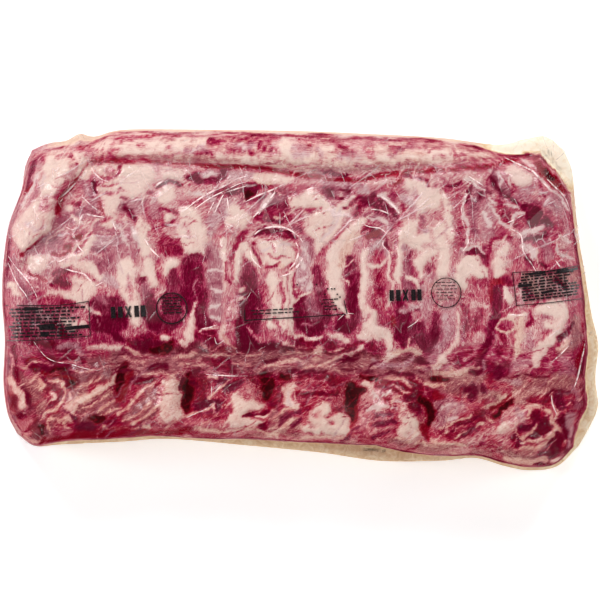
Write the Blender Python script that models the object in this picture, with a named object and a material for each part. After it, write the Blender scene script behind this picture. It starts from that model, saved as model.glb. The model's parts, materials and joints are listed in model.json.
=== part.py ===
"""A whole boneless strip loin sealed in a shrunk clear bag, lying flat with its bone side up.

The pack is one closed solid out to the film: a slab with a rounded hem below, a thick chine
side in front (-Y), a thinner tail edge behind (+Y), and the hollows and swellings that the
tight film follows. Lengths are in millimetres until the mesh is placed, in metres.
"""

import math

import bmesh
import bpy
import numpy as np

MM = 0.001

# Driving dimensions
TAIL_HEIGHT = 56.0  # top of the thin edge, behind
CHINE_HEIGHT = 74.0  # top of the thick edge, in front
RIM_HEIGHT = 15.0  # where the pack is widest
HEM_INSET = 9.0  # from the widest line in to the flat that it rests on
HEM_RINGS = 5
COLUMNS = 68
ROWS = 38
EDGE_CROWDING = 0.78  # 0 spaces the grid evenly, near 1 packs it towards the outline
SIDE_SAMPLES = 160

# How far in from the outline the top takes to reach its full height, on each side
WALL = {"front": 15.0, "back": 25.0, "left": 17.0, "right": 19.0}

# The outline seen from above, one run for each side, corner to corner
OUTLINE = {
    "front": (
        (-207, -98), (-194, -107), (-174, -106), (-131, -104), (-95, -102), (-36, -107), (15, -112),
        (58, -118), (102, -118), (128, -116), (150, -122), (168, -125), (188, -122), (204, -107),
    ),
    "back": (
        (-196, 110), (-184, 115), (-171, 117), (-161, 122), (-150, 120), (-128, 125), (-73, 125), (0, 124),
        (47, 122), (102, 119), (144, 114), (164, 118), (180, 120), (193, 110),
    ),
    "left": (
        (-207, -98), (-214, -83), (-217, -60), (-216, -29), (-218, 0),
        (-217, 28), (-213, 55), (-204, 80), (-201, 98), (-196, 110),
    ),
    "right": (
        (204, -107), (213, -91), (218, -77), (216, -58), (218, -33), (213, -9),
        (208, 22), (204, 45), (201, 73), (199, 95), (193, 110),
    ),
}

# Trenches that the film dips into: route, half width and depth
TRENCHES = {
    "tail_groove": (
        ((-175, 104), (-155, 101), (-110, 100), (-44, 95), (0, 90), (33, 89), (95, 97), (155, 104), (172, 108)),
        7.0,
        7.0,
    ),
    "end_roll_crevice": (
        ((-152, 100), (-161, 84), (-172, 64), (-177, 47), (-191, 35), (-201, 23)),
        7.0,
        6.0,
    ),
    "chine_trough": (
        ((-204, -38), (-146, -38), (-73, -45), (0, -45), (73, -50), (131, -60), (190, -66)),
        9.0,
        4.0,
    ),
}

# Swollen runs under the film: route, half width and height
ROLLS = {
    "end_roll": (((-164, 95), (-179, 73), (-190, 51), (-198, 33)), 12.0, 6.0),
    "tail_roll": (((-150, 110), (-73, 110), (0, 107), (73, 108), (150, 110)), 9.0, 4.0),
}

# Rib scars: raised strips that run across the pack, at these places along it
RIB_X = (-122, -52, -16, 48, 72, 110)
RIB_ROUTE_Y = (45, -32)
RIB_LEAN = 6.0  # how far the foot of each strip lies to the right of its head
RIB_HALF_WIDTH = 6.0
RIB_LIFT = 2.5

# Pits between the chine blocks, where the vertebrae were: centre, half sizes and turn in degrees
PITS = (
    ((-130, -57), (8, 16), -6),
    ((-80, -69), (9, 19), -10),
    ((-22, -62), (11, 13), 0),
    ((38, -70), (10, 17), 15),
    ((95, -82), (9, 16), 0),
    ((146, -77), (14, 8), 38),
)
PIT_DEPTH = 8.5

# Blocks of the chine side that swell between the pits, and their half sizes
BLOCKS_X = (-165, -105, -50, 8, 67, 121, 175)
BLOCK_Y = -84.0
BLOCK_HALF_SIZES = (24.0, 18.0)
BLOCK_LIFT = 6.0

FILM_COLOUR = (0.42, 0.11, 0.13, 1.0)
FILM_ROUGHNESS = 0.18


def clear_scene():
    for obj in list(bpy.data.objects):
        bpy.data.objects.remove(obj, do_unlink=True)


def smooth_run(points, samples):
    """Catmull-Rom curve through the points, resampled at even steps."""
    knots = np.array(points, float)
    knots = np.vstack([2 * knots[0] - knots[1], knots, 2 * knots[-1] - knots[-2]])
    t = np.linspace(0, 1, 12, endpoint=False)[:, None]
    pieces = []
    for a, b, c, d in zip(knots, knots[1:], knots[2:], knots[3:]):
        bend = 2 * a - 5 * b + 4 * c - d
        twist = 3 * b - a - 3 * c + d
        pieces.append(0.5 * (2 * b + (c - a) * t + bend * t**2 + twist * t**3))
    line = np.vstack([*pieces, knots[-2:-1]])
    steps = np.linalg.norm(np.diff(line, axis=0), axis=1)
    along = np.concatenate([[0], np.cumsum(steps)])
    even = np.linspace(0, along[-1], samples)
    return np.stack([np.interp(even, along, line[:, k]) for k in (0, 1)], axis=1)


SIDES = {name: smooth_run(points, SIDE_SAMPLES) for name, points in OUTLINE.items()}


def on_side(name, share):
    """Points of one side of the outline, at these shares of its length."""
    at = share * (SIDE_SAMPLES - 1)
    index = np.arange(SIDE_SAMPLES)
    return np.stack([np.interp(at, index, SIDES[name][:, k]) for k in (0, 1)], axis=-1)


def inside_outline(s, t):
    """Coons patch of the four sides: s runs left to right and t front to back, both 0 to 1."""
    s, t = s[:, None], t[:, None]
    front, back = on_side("front", s[:, 0]), on_side("back", s[:, 0])
    left, right = on_side("left", t[:, 0]), on_side("right", t[:, 0])
    corner = {(a, b): SIDES[a][-1 if b == "right" else 0] for a in ("front", "back") for b in ("left", "right")}
    flat = (
        (1 - s) * (1 - t) * corner["front", "left"]
        + s * (1 - t) * corner["front", "right"]
        + (1 - s) * t * corner["back", "left"]
        + s * t * corner["back", "right"]
    )
    return (1 - t) * front + t * back + (1 - s) * left + s * right - flat


def crowded(share):
    """Moves grid lines towards both ends of 0 to 1."""
    bend = EDGE_CROWDING * math.pi / 2
    return 0.5 + 0.5 * np.sin((2 * share - 1) * bend) / math.sin(bend)


def distance_to(route, places):
    """Distance of each place to an open run of straight lines."""
    route = np.array(route, float)
    nearest = np.full(len(places), np.inf)
    for start, end in zip(route, route[1:]):
        way = end - start
        share = np.clip((places - start) @ way / (way @ way), 0, 1)
        nearest = np.minimum(nearest, np.linalg.norm(places - start - share[:, None] * way, axis=1))
    return nearest


def bump(reach):
    """1 at the middle of a feature, falling smoothly to nothing at about twice its half size."""
    return np.exp(-(reach**2))


def turned_oval(places, centre, half_sizes, turn):
    """Distance from an oval's middle, as a share of its half size."""
    angle = math.radians(turn)
    across = places - np.array(centre, float)
    x = across[:, 0] * math.cos(angle) + across[:, 1] * math.sin(angle)
    y = across[:, 1] * math.cos(angle) - across[:, 0] * math.sin(angle)
    return np.hypot(x / half_sizes[0], y / half_sizes[1])


def full_height(places):
    """Height of the top well inside the outline."""
    half_width = 0.5 * (SIDES["back"][:, 1].max() - SIDES["front"][:, 1].min())
    back_share = np.clip(0.5 + 0.5 * places[:, 1] / half_width, 0, 1)
    eased = back_share**2 * (3 - 2 * back_share)
    height = CHINE_HEIGHT + (TAIL_HEIGHT - CHINE_HEIGHT) * eased
    for route, half_width, depth in TRENCHES.values():
        height -= depth * bump(distance_to(route, places) / half_width)
    for route, half_width, lift in ROLLS.values():
        height += lift * bump(distance_to(route, places) / half_width)
    for x in RIB_X:
        route = ((x, RIB_ROUTE_Y[0]), (x + RIB_LEAN, RIB_ROUTE_Y[1]))
        height += RIB_LIFT * bump(distance_to(route, places) / RIB_HALF_WIDTH)
    for x in BLOCKS_X:
        height += BLOCK_LIFT * bump(turned_oval(places, (x, BLOCK_Y), BLOCK_HALF_SIZES, 0))
    for centre, half_sizes, turn in PITS:
        height -= PIT_DEPTH * bump(turned_oval(places, centre, half_sizes, turn))
    return height


def wall_share(places):
    """0 on the outline to 1 where the top has its full height, as a quarter round."""
    share = np.ones(len(places))
    for name, wall in WALL.items():
        reach = np.clip(distance_to(SIDES[name][::4], places) / wall, 0, 1)
        share = np.minimum(share, np.sqrt(1 - (1 - reach) ** 2))
    return share


def top_heights(places):
    return RIM_HEIGHT + (full_height(places) - RIM_HEIGHT) * wall_share(places)


def shape_top(mesh):
    """Spreads a square grid over the outline and lifts it to the top's heights."""
    unit = np.array([v.co[:2] for v in mesh.verts])
    shares = crowded(0.5 + 0.5 * unit)
    places = inside_outline(shares[:, 0], shares[:, 1])
    heights = top_heights(places)
    for vert, place, height in zip(mesh.verts, places, heights):
        vert.co = (*place, height)


def ring_in_order(edges):
    """The vertices of a closed ring of edges, one after another, and anticlockwise from above."""
    edges = set(edges)
    first = next(iter(edges)).verts[0]
    ring, here, last = [first], first, None
    while True:
        step = next(e for e in here.link_edges if e in edges and e is not last)
        here, last = step.other_vert(here), step
        if here is first:
            break
        ring.append(here)
    places = np.array([v.co[:2] for v in ring])
    after = np.roll(places, -1, axis=0)
    area = (places[:, 0] * after[:, 1] - after[:, 0] * places[:, 1]).sum()
    return ring if area > 0 else ring[::-1]


def inward_ways(ring):
    """The horizontal way in from the outline at each vertex of the ring."""
    places = np.array([v.co[:2] for v in ring])
    along = np.roll(places, -2, axis=0) - np.roll(places, 2, axis=0)
    ways = np.stack([-along[:, 1], along[:, 0]], axis=1)
    return ways / np.linalg.norm(ways, axis=1)[:, None]


def add_hem(mesh):
    """Extrudes the rim down to the table in rings that follow a quarter round, and closes the underside."""
    edges = [e for e in mesh.edges if e.is_boundary]
    rim = ring_in_order(edges)
    outer = {v: (np.array(v.co[:2]), way) for v, way in zip(rim, inward_ways(rim))}
    for k in range(1, HEM_RINGS + 1):
        angle = 0.5 * math.pi * k / HEM_RINGS
        made = bmesh.ops.extrude_edge_only(mesh, edges=edges)["geom"]
        edges = [g for g in made if isinstance(g, bmesh.types.BMEdge)]
        lower = {}
        for vert in (g for g in made if isinstance(g, bmesh.types.BMVert)):
            above = next(o for e in vert.link_edges if (o := e.other_vert(vert)) in outer)
            place, way = outer[above]
            vert.co[:2] = place + way * HEM_INSET * (1 - math.cos(angle))
            vert.co.z = RIM_HEIGHT * (1 - math.sin(angle))
            lower[vert] = (place, way)
        outer = lower
    bmesh.ops.contextual_create(mesh, geom=edges)


def film_material():
    material = bpy.data.materials.new("wrapped_beef")
    material.use_nodes = True
    shader = material.node_tree.nodes["Principled BSDF"]
    shader.inputs["Base Color"].default_value = FILM_COLOUR
    shader.inputs["Roughness"].default_value = FILM_ROUGHNESS
    shader.inputs["Metallic"].default_value = 0.0
    return material


def make_sealed_loin():
    mesh = bmesh.new()
    bmesh.ops.create_grid(mesh, x_segments=COLUMNS, y_segments=ROWS, size=1.0)
    shape_top(mesh)
    add_hem(mesh)
    bmesh.ops.scale(mesh, vec=(MM, MM, MM), verts=mesh.verts)
    bmesh.ops.recalc_face_normals(mesh, faces=mesh.faces)
    data = bpy.data.meshes.new("sealed_loin")
    mesh.to_mesh(data)
    mesh.free()
    data.shade_smooth()
    data.set_sharp_from_angle(angle=math.radians(50))
    data.materials.append(film_material())
    obj = bpy.data.objects.new("sealed_loin", data)
    bpy.context.scene.collection.objects.link(obj)
    return obj


clear_scene()
make_sealed_loin()
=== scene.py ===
import json
import math

import bpy
import numpy as np
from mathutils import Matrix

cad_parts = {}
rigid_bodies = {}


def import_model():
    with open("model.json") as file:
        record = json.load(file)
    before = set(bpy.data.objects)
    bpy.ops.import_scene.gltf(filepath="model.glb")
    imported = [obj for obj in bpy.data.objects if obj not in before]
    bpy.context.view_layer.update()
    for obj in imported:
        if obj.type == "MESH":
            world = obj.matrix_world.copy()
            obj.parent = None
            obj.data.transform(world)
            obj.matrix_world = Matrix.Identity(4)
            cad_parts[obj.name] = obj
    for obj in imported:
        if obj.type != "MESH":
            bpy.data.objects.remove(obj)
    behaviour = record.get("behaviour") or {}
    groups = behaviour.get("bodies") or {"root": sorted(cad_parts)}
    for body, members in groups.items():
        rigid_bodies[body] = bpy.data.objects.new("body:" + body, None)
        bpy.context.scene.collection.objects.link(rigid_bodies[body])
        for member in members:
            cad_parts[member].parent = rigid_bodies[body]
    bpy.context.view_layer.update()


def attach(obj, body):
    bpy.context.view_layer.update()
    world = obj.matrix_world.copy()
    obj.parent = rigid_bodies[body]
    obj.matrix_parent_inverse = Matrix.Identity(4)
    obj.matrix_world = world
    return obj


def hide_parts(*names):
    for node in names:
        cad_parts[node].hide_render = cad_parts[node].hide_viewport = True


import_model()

# Lengths are in millimetres until a mesh is placed, in metres. X runs along the pack, Y from the
# chine side in front to the tail edge behind, Z up from the table.
mm = 0.001

# The pack's form, as its CAD solid has it
pack = {
    "halfSizes": (218, 122),
    "tailHeight": 56,
    "chineHeight": 74,
    "fallDepth": 250,  # over which the top falls from one to the other
    "rimHeight": 15,  # where the pack is widest
    # how far the fat cap stands out beyond the meat: places along each side, and widths there
    "capLip": {
        "front": (
            (-190, 0), (-170, 2), (-110, 2), (-80, 1), (-60, 2), (-40, 4.5), (0, 5.5),
            (30, 8), (55, 11), (75, 7), (95, 4), (120, 1.5), (204, 2),
        ),
        "back": ((-172, 2), (-158, 4), (-140, 0), (125, 0), (145, 5), (160, 9), (180, 14), (193, 16)),
        "left": ((-98, 2), (-80, 0), (90, 0), (110, 2)),
        "right": (
            (-107, 3), (-90, 8), (-60, 7), (-30, 7), (-10, 4), (10, 2), (40, 1), (78, 2), (90, 9), (110, 18),
        ),
    },
    "lipRise": 5,
    "lipReach": 6,  # mm in from the edge to the lip's full rise
    "lipShift": 0.6,  # share of the lip by which the wall's top is moved in too
    "lipLines": 3,  # grid lines over the lip, and in all up to the full height
    "wallLines": 17,
    "crowdReach": 30,  # mm inside the wall, where the lines are even again
    "hemInset": 9,  # from the widest line in to the flat that it rests on
    "hemRings": 5,
    "wall": {"front": 12, "back": 25, "left": 17, "right": 19},
    "wallFullness": 2.6,  # higher rises sooner
    "outline": {
        "front": (
            (-207, -98), (-194, -107), (-174, -106), (-131, -104), (-95, -102), (-36, -107), (15, -112),
            (58, -118), (102, -118), (128, -116), (150, -122), (168, -125), (188, -122), (204, -107),
        ),
        "back": (
            (-196, 110), (-184, 115), (-171, 117), (-161, 122), (-150, 120), (-128, 125), (-73, 125),
            (0, 124), (47, 122), (102, 119), (144, 114), (164, 118), (180, 120), (193, 110),
        ),
        "left": (
            (-207, -98), (-214, -83), (-217, -60), (-216, -29), (-218, 0),
            (-217, 28), (-213, 55), (-204, 80), (-201, 98), (-196, 110),
        ),
        "right": (
            (204, -107), (213, -91), (218, -77), (216, -58), (218, -33), (213, -9),
            (208, 22), (204, 45), (201, 73), (199, 95), (193, 110),
        ),
    },
    # route, half width and depth
    "trenches": (
        (
            (
                (-175, 104), (-155, 101), (-110, 100), (-44, 95), (0, 90),
                (33, 89), (95, 97), (155, 104), (172, 108),
            ),
            5, 3,
        ),
        (((-152, 100), (-161, 84), (-172, 64), (-177, 47), (-191, 35), (-201, 23)), 7, 6),
        (((-204, -38), (-146, -38), (-73, -45), (0, -45), (73, -50), (131, -60), (190, -66)), 9, 4),
    ),
    # route, half width and height
    "rolls": (
        (((-164, 95), (-179, 73), (-190, 51), (-198, 33)), 12, 6),
        (((-150, 110), (-73, 110), (0, 107), (73, 108), (150, 110)), 9, 4),
    ),
    "ribX": (-122, -52, -16, 48, 72, 110),
    "ribRouteY": (45, -32),
    "ribLean": 6,
    "ribHalfWidth": 6,
    "ribLift": 2.5,
    # centre, half sizes and turn in degrees of the pits between the chine blocks
    "pits": (
        ((-130, -57), (8, 16), -6),
        ((-80, -69), (9, 19), -10),
        ((-22, -62), (11, 13), 0),
        ((38, -70), (10, 17), 15),
        ((95, -82), (9, 16), 0),
        ((146, -77), (14, 8), 38),
    ),
    "pitDepth": 8.5,
    "blocksX": (-165, -105, -50, 8, 67, 121, 175),
    "blockY": -84,
    "blockHalfSizes": (24, 18),
    "blockLift": 6,
}

# What each tone of tissue is: fat, veil (silvery membrane), clot, straw (aged fat), red (against
# purple) and brown shares, then lift, edge softness and raggedness in mm
tones = {
    "cream": (1.0, 0, 0, 0.1, 0.4, 0, 1.0, 2.1, 1.3),
    "fat": (0.87, 0, 0, 0.15, 0.4, 0, 0.7, 2.3, 1.5),
    "sand": (0.8, 0, 0, 0.25, 0.4, 0.1, 0.6, 1.8, 1.3),
    "blush": (0.67, 0, 0, 0, 0.4, 0, 0.3, 2.3, 1.7),
    "pink": (0.57, 0.05, 0, 0, 0.4, 0, 0.1, 2.3, 1.7),
    "rose": (0.47, 0, 0, 0, 0.5, 0, 0, 2.1, 1.7),
    "fresh": (0.25, 0, 0, 0, 0.5, 0, -0.3, 1.7, 1.5),
    "lean": (0.2, 0.14, 0, 0, 0.2, 0, -0.6, 1.4, 1.3),
    "purple": (0.1, 0, 0, 0, 0, 0, -0.8, 1.5, 1.3),
    "wine": (0.06, 0, 0.06, 0, 0.35, 0, -1.0, 1.4, 1.2),
    "blood": (0.14, 0, 0, 0, 1, 0, -0.8, 1.5, 0.7),
    "clot": (0, 0, 0.8, 0, 0.9, 0, -1.2, 1.7, 1.0),
    "veil": (0.54, 0.46, 0, 0, 0.3, 0, 0.2, 2.1, 1.3),
    "ash": (0.5, 0.75, 0, 0, 0.2, 0.1, 0.1, 2.1, 1.6),
    # the silver strokes stand for silvery membrane, and in places for the film's grey sheen, which is painted
    # reflection
    "silver": (0.62, 0.8, 0, 0, 0.2, 0, 0.4, 1.7, 1.6),
    "umber": (0.52, 0.35, 0, 0.1, 0.5, 0.5, 0, 2.3, 1.6),
    "dusk": (0.34, 0.5, 0, 0, 0.1, 0, -0.2, 2.4, 1.0),
    # pale lines laid under the film's folds: partly the whitening of doubled film, partly painted glint
    "frost": (0.95, 0.7, 0, 0, 0.2, 0, 0.3, 1.3, 1.0),
    "straw": (0.95, 0, 0, 1, 0.4, 0, 0.5, 1.5, 0.8),
}

# The tissue, as strokes laid in this order, one region after another. A tone's name opens its
# strokes, a slash parts them, and each stroke is a run of dabs: x, y and half width.
tissue = {
    "ground": """
    pink -190 10 60, -60 20 50, 190 10 60
    rose -160 -70 34, 170 -84 34
    blush -185 85 26, -70 106 24, 60 106 24, 185 108 22
    blush -195 40 20, -150 20 24, -110 60 24, -80 62 22
    rose 130 0 24, 190 -20 26, 160 60 24
    umber -190 -55 12, -100 -46 8, 0 -46 7, 80 -52 7, 120 -62 8, 190 -60 10
    """,
    "left edge": """
    dusk -192 109 3, -197 96 4, -201 82 3.6, -206 70 3, -211 55 3, -214 40 3, -215 22 4, -211 8 3
    lean -190 108 2, -194 98 2.4, -198 86 1.6, -205 70 1.2, -211 52 1 / -214 34 1.6, -213 18 2
    lean -188 111 1.4, -182 112 2, -176 113 2
    blood -201 77 .7, -197 82 1.1, -194 86 .6
    veil -190 100 3, -186 96 3 / -194 88 2, -190 82 2, -196 70 1.6, -203 58 1.2
    frost -190 92 .9, -195 82 .9, -201 68 .8
    wine -189 103 .9, -185 99 1.3, -183 96 .8
    straw -170 121 2, -160 122 2.4, -151 119 2
    blood -178 111 1.4, -171 112 2, -163 111 1.6, -157 109 1 / -173 116 .6, -166 117 .6
    rose -158 114 2.4, -151 114 3.6, -146 114 2
    fresh -156 112 1, -151 110 1.6, -147 109 1.4
    """,
    "end roll": """
    cream -181 105 4, -170 104 4, -160 102 4, -156 99 3
    cream -180 96 7, -172 92 9, -163 94 7
    cream -184 84 6, -180 76 5 / -184 73 5, -190 64 8, -198 54 8, -203 47 6
    cream -200 44 6, -190 50 8, -184 58 6
    blush -166 92 4, -164 98 3.6, -169 84 3 / -185 69 5, -183 74 3
    frost -198 57 1.4, -192 50 1.4, -186 53 1 / -186 90 1.2, -188 82 1
    rose -177 104 1.2, -171 105.5 1.8, -166 103 1.4 / -171 82 3, -176 75 2
    fresh -167 106 .9, -164 102 .9, -161 98 .6
    blood -151.5 101 1.3, -156 94.5 .8, -161 88 .8, -166 82.5 1.6, -171 76 2, -174 69 2.2, -176 62 2.6,
      -175 59 1.6
    blood -185 43.5 .8, -190 41 1, -195 38.6 1.6, -200 34 2 / -198 30 .8, -196 20 .9, -190 16 1,
      -185 13 1
    """,
    "upper left": """
    cream -157 88 2.4, -152 95 3, -149 98 2
    veil -156 84 4, -153 76 5, -152 70 4 / -168 60 6, -160 63 6, -152 64 4 / -177 56 4, -176 48 6,
      -184 38 7, -194 32 5
    dusk -172 56 3, -166 60 3, -158 64 2.4 / -182 42 4, -176 46 3
    silver -155 80 2.4, -153 75 2
    wine -150 86 1.6, -149 82 1.6, -149 78 1
    cream -143 96 4, -134 95 6, -134 90 4 / -126 92 7, -120 88 10, -114 92 7
    blush -137 94 4 / -124 88 4, -118 88 5
    fresh -142 89 .8, -135 88.5 1, -131 92 1.4, -130 97 1.6
    cream -144 82 3, -132 82 3, -122 77 3 / -141 76 4, -134 72 6, -139 66 4
    rose -146 84 .9, -140 82 .9, -132 84 .8 / -143 78 .9, -133 77.5 .9 / -132 80 .9, -122 79 1.2
    blood -149 72 .8, -145 70 1, -144 64 .8, -138 60 .7 / -148 67 .8, -142 66 .6
    cream -168 66 2.6 / -166 60 1, -160 56 1.4
    fresh -165 70 1.2, -161 69 1.8 / -158 67 .8, -150 62 1, -145 60 1
    cream -192 26 6, -186 28 5
    blush -184 21 3, -178 27 4, -173 30 3
    blood -180 33 .8, -174 32 1.3, -169 34 1.3 / -170 39 2, -166 38 3, -166 34 1.6 / -163 47 2,
      -159 44 2.2
    blush -158 55 1.6, -154 50 2.4
    cream -166 30 3, -160 35 4.6, -152 44 5, -143 54 5, -137 60 3
    rose -163 33 .9, -154 45 1.2, -146 54 1, -139 60 .8 / -146 59 1, -138 60 1.4
    veil -146 50 4, -140 46 5, -132 50 5, -138 38 7, -126 38 6 / -150 28 5, -141 25 6, -132 28 6
    silver -146 41 3, -138 42 3, -130 44 3 / -134 52 2, -126 50 3 / -142 17 3, -136 11 4
    frost -138 57 1, -133 51 1.4, -128 44 1.4, -122 38 1.2 / -148 34 1, -142 40 1
    dusk -148 38 2, -143 36 2.6 / -146 24 2.4, -138 30 3
    cream -173 24 2, -160 25 3, -152 23 3, -146 18 2
    cream -160 10 7, -152 8 6, -160 3 6, -172 3 4, -181 3 3
    fresh -178 20 2, -170 20 3, -166 23 1.4 / -181 10 2, -173 13 5, -168 12 3
    purple -176 12 1.6, -171 13 2.4 / -149 15 1.2
    """,
    "left middle": """
    veil -208 28 3, -204 16 3, -198 6 3, -193 -4 3
    cream -211 8 2, -208 9 4, -204 7 3
    dusk -201 10 2, -197 2 3, -200 -6 4
    rose -192 4 3, -184 -1 4, -176 0 4
    blush -206 -4 3, -208 -16 4, -207 -26 3
    dusk -196 -10 5, -186 -14 5, -176 -20 4
    silver -190 -6 2, -186 -12 2.5, -180 -14 1.5
    pink -176 -6 5, -166 -8 6, -158 -10 4
    fresh -174 -2 2, -164 -3 1.4 / -178 -18 3, -170 -24 2
    cream -172 -15 2, -164 -17 2.5, -158 -16 2
    lean -147 -3 5, -138 -5 6, -131 -2 4
    purple -146 -15 6, -138 -18 7, -130 -16 6
    veil -144 0 3, -140 -3 2
    cream -158 -2 .5, -151 -7 1.5, -144 -10.5 .8
    """,
    # the umber stroke below from x 16, y 100 to x 10, y 93 is a painted brownish shadow
    "tail band": """
    cream -150 113 3, -136 112 5, -118 112 6, -96 112 6, -80 113 5, -68 116 3
    fat -146 105 2.6, -128 106 3, -105 106 3, -86 105 3, -60 103 3.6, -36 103 4, -8 101 4, 20 102 4,
      46 99 4, 76 101 4, 104 103 4, 146 106 4
    blush -140 108 .7, -110 109 .8, -84 107 .7 / -50 106 .8, -20 104 .7 / 20 98 .7, 50 95 .8, 90 98 .7 /
      84 105 .7, 110 106 .8, 138 109 .7
    sand -20 98 1.5, 10 97 2, 50 99 1.5, 90 100 2, 130 102 1.5
    cream -130 108 1.2, -100 108 1.2 / -60 104 3, -48 104 4, -30 102 2 / -12 112 5, -2 104 3,
      14 107 3.4, 22 109 3 / 30 101 2, 60 101 2, 92 106 4, 120 105 3
    rose -134 117 1.6, -124 117 1.6, -112 118 1.4, -92 117 1 / -116 113 2, -111 112 1.2 / -98 113 1.6,
      -92 110 1.2
    umber -132 122 .6, -116 122 .7, -100 121.5 .5 / -94 104 .8, -80 103.5 .9, -64 103 .8
    blood -128 120.6 .5, -114 120.4 .7, -100 119.8 .6, -84 119.6 .6
    blush -60 112 5, -50 115 4, -36 114 5, -22 114 4
    fresh -67 114 .8, -60 117 1.4, -50 118 1.6, -38 117.5 2.2, -26 118 2.2, -14 118 1, -6 117.5 .6
    fresh -66 112 2, -60 113 1.6 / -84 106 1 / -76 105.5 1.2, -70 107 1.6, -63 105 1.6 / -74 111 1,
      -66 109 1
    silver -82 109 2.6, -73 110 2.4, -66 108 1.6 / -44 112 3, -36 111 3 / -26 111 2
    frost -78 109 1, -72 108 1 / -43 113 1.4, -39 110 1.2 / -32 108 1
    fresh -48 109 1.4, -40 106 1.2, -34 106.5 1, -27 107 .9 / -30 113 .8, -25 109 1.8, -21 107 1.2
    veil -1 112 3, 8 110 3 / 30 105.5 1, 40 104.5 1
    blood -2 120.6 .5, 8 120.6 .9, 20 120.6 .8, 30 119.6 .8, 38 118 .8 / 0 116 .8, 8 113.5 .9
    rose 2 117 2.4, 12 118 2, 24 114 2
    fresh 22 116 1.2, 30 117 1.2, 38 117 1 / 24 112 .8, 29 111 .9, 36 108.5 .6 / 25 107 1, 32 107 1.1,
      38 107 .7
    rose 48 112 2, 51 108 2.4, 53 104 1.8
    fresh 50 111 .8, 52 106 .8 / 64 109 1.6, 70 111 2, 78 113 1
    rose 58 110 7, 68 106 2
    cream 58 110 4.6, 60 107 4
    veil 66 104 .9, 74 107.5 .8, 82 112 .6
    blush 84 113 2.4, 96 115 2.4, 110 116 2, 124 115 2
    blood 81 117 .8, 90 118 .9, 97 118.4 .9, 104 118 .7
    rose 86 111 .7, 94 113 .8, 102 113 1.4 / 112 112 .8, 122 114.5 .8, 130 113 1, 143 113.6 .7 /
      104 103 .6, 116 107 .6, 128 110 .6
    umber -150 104 .6, -120 104.6 .6, -90 103.6 .7, -62 103 .7 / -110 102.8 .6, -85 102 .7, -60 101 .6,
      -40 100.6 .6
    umber 15 97 .7, 40 94.6 .7, 70 97 .7, 100 100 .7, 130 102.6 .6, 150 104 .6 / 40 97.6 .6, 80 101 .7,
      110 104 .6 / 16 100 2, 12 96 2.2, 10 93 1.8
    rose -150 103 .7, -110 103.4 .6 / -140 106 .6, -110 105.4 .6, -92 105 .6 / -30 100 .6, 0 97 .7,
      18 95 .7
    rose 20 101 .7, 50 97 .8, 90 99 .7, 120 101.6 .7, 150 103 .7 / 60 95 .7, 90 97.4 .7, 130 100.4 .6
    silver -6 110 2.4, 0 105 2, 8 108 2.4 / 14 108 1.8, 18 104 1.6 / 28 104 2, 36 103 2.4, 44 102 1.6
    fresh 24 113 1.6, 30 110 1.6, 38 107.5 1.2 / 31 104.6 .9, 40 103 .9 / 68 106 1.2, 76 111 1.4,
      84 116 1.2 / 74 117 1, 90 118 1.6, 106 117 1.2
    rose 52 114 1.8, 49 108 2, 54 102 1.6 / 84 106 .8, 100 110 .9, 118 115 .8 / 96 104 .8, 116 109 .9,
      134 113 .7 / 110 103 .8, 130 108 .8, 146 110 .6
    dusk 67 103 1, 75 107.5 1.3, 84 113 .9
    fresh -68 113 1.2, -58 117 2, -46 118 2 / -50 110 1, -44 106 1, -36 105 1.2 / -28 112 1, -20 108 1.2
      / -22 115 1, -30 110 .9
    """,
    "groove": """
    rose -150 99 .7, -128 99.4 .7, -104 98.6 .8, -84 97 .8 / -38 94.6 1, -22 92.6 .9 / 22 94 .7,
      28 92 .7, 36 89.6 .6 / 100 92.6 1, 124 94.6 .8, 144 96.4 .8
    wine -104 100 1.2, -99 99.4 1.2 / -58 95.6 1.6, -50 94 2
    lean 14 92 1.6, 22 92 2, 30 90 1.4 / 76 90 1.4, 84 88.6 1.4, 92 86 .8
    """,
    "under the groove": """
    cream -120 91 8, -119 84 8, -112 94 5 / -97 92 5, -90 89 5 / -96 78 5, -100 74 4
    wine -104 82 1, -99 85 1.6, -93 85.5 1.6, -87 82 .8
    fresh -111 77 1, -107 77 1.4 / -130 74 1, -126 73 1
    purple -80 88 3, -72 88 5, -62 88 5, -54 93 3.6, -48 95 2
    silver -71 90 2, -66 92 2.4, -60 92.5 1.8
    frost -69 90 1, -63 92.5 1
    silver -50 91 3, -42 91 3.4, -34 91 2
    blush -82 78 4, -74 78 4, -66 80 3
    frost -80 78 1, -70 76 1
    rose -86 70 2, -76 71 2.4, -70 72 2
    fresh -62 76 2, -52 80 3, -40 83 3, -28 83 2.4, -16 86 1.6
    purple -52 77 2, -44 79 2.6, -34 79 2.4
    clot -40 76 1.8, -37 77 2.4
    silver -66 74 3, -60 68 4, -54 70 4, -56 62 4
    frost -62 66 1.4, -58 72 1.2 / -53 64 1.6
    cream -50 66 3, -43 62 4.6, -38 60 3
    straw -30 88 3, -22 87 3
    cream -30 88.5 3.4, -18 88 3.6, -6 88.5 2
    rose -16 80 3, -6 81 3.4, 6 82 2.6, 15 82 1.6
    fresh -18 78 2.4, -8 78 2
    blush -4 86 2, 6 86 2
    lean -28 72 3, -22 66 5, -14 68 6, -12 60 4
    dusk -24 70 2, -15 72 3
    frost -32 61 1, -27 68 2, -21 76 1.6
    silver 14 90 3, 20 86 3.6, 28 84 4, 36 84 3
    dusk 18 80 3, 26 78 4, 34 78 4, 37 82 2
    wine 18 80 1, 24 76 1.2, 30 74 1 / 30 81 .9, 36 78 1.2 / 14 89 1, 26 88 1, 34 90 1
    silver 42 83 3, 48 80 3, 44 77 2
    blush 54 86 3, 62 87 3, 68 88 1.6
    blood 70 91 2.4, 73 87 2.4, 70 83 1.2
    rose 66 82 2, 60 80 1.6
    """,
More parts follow.
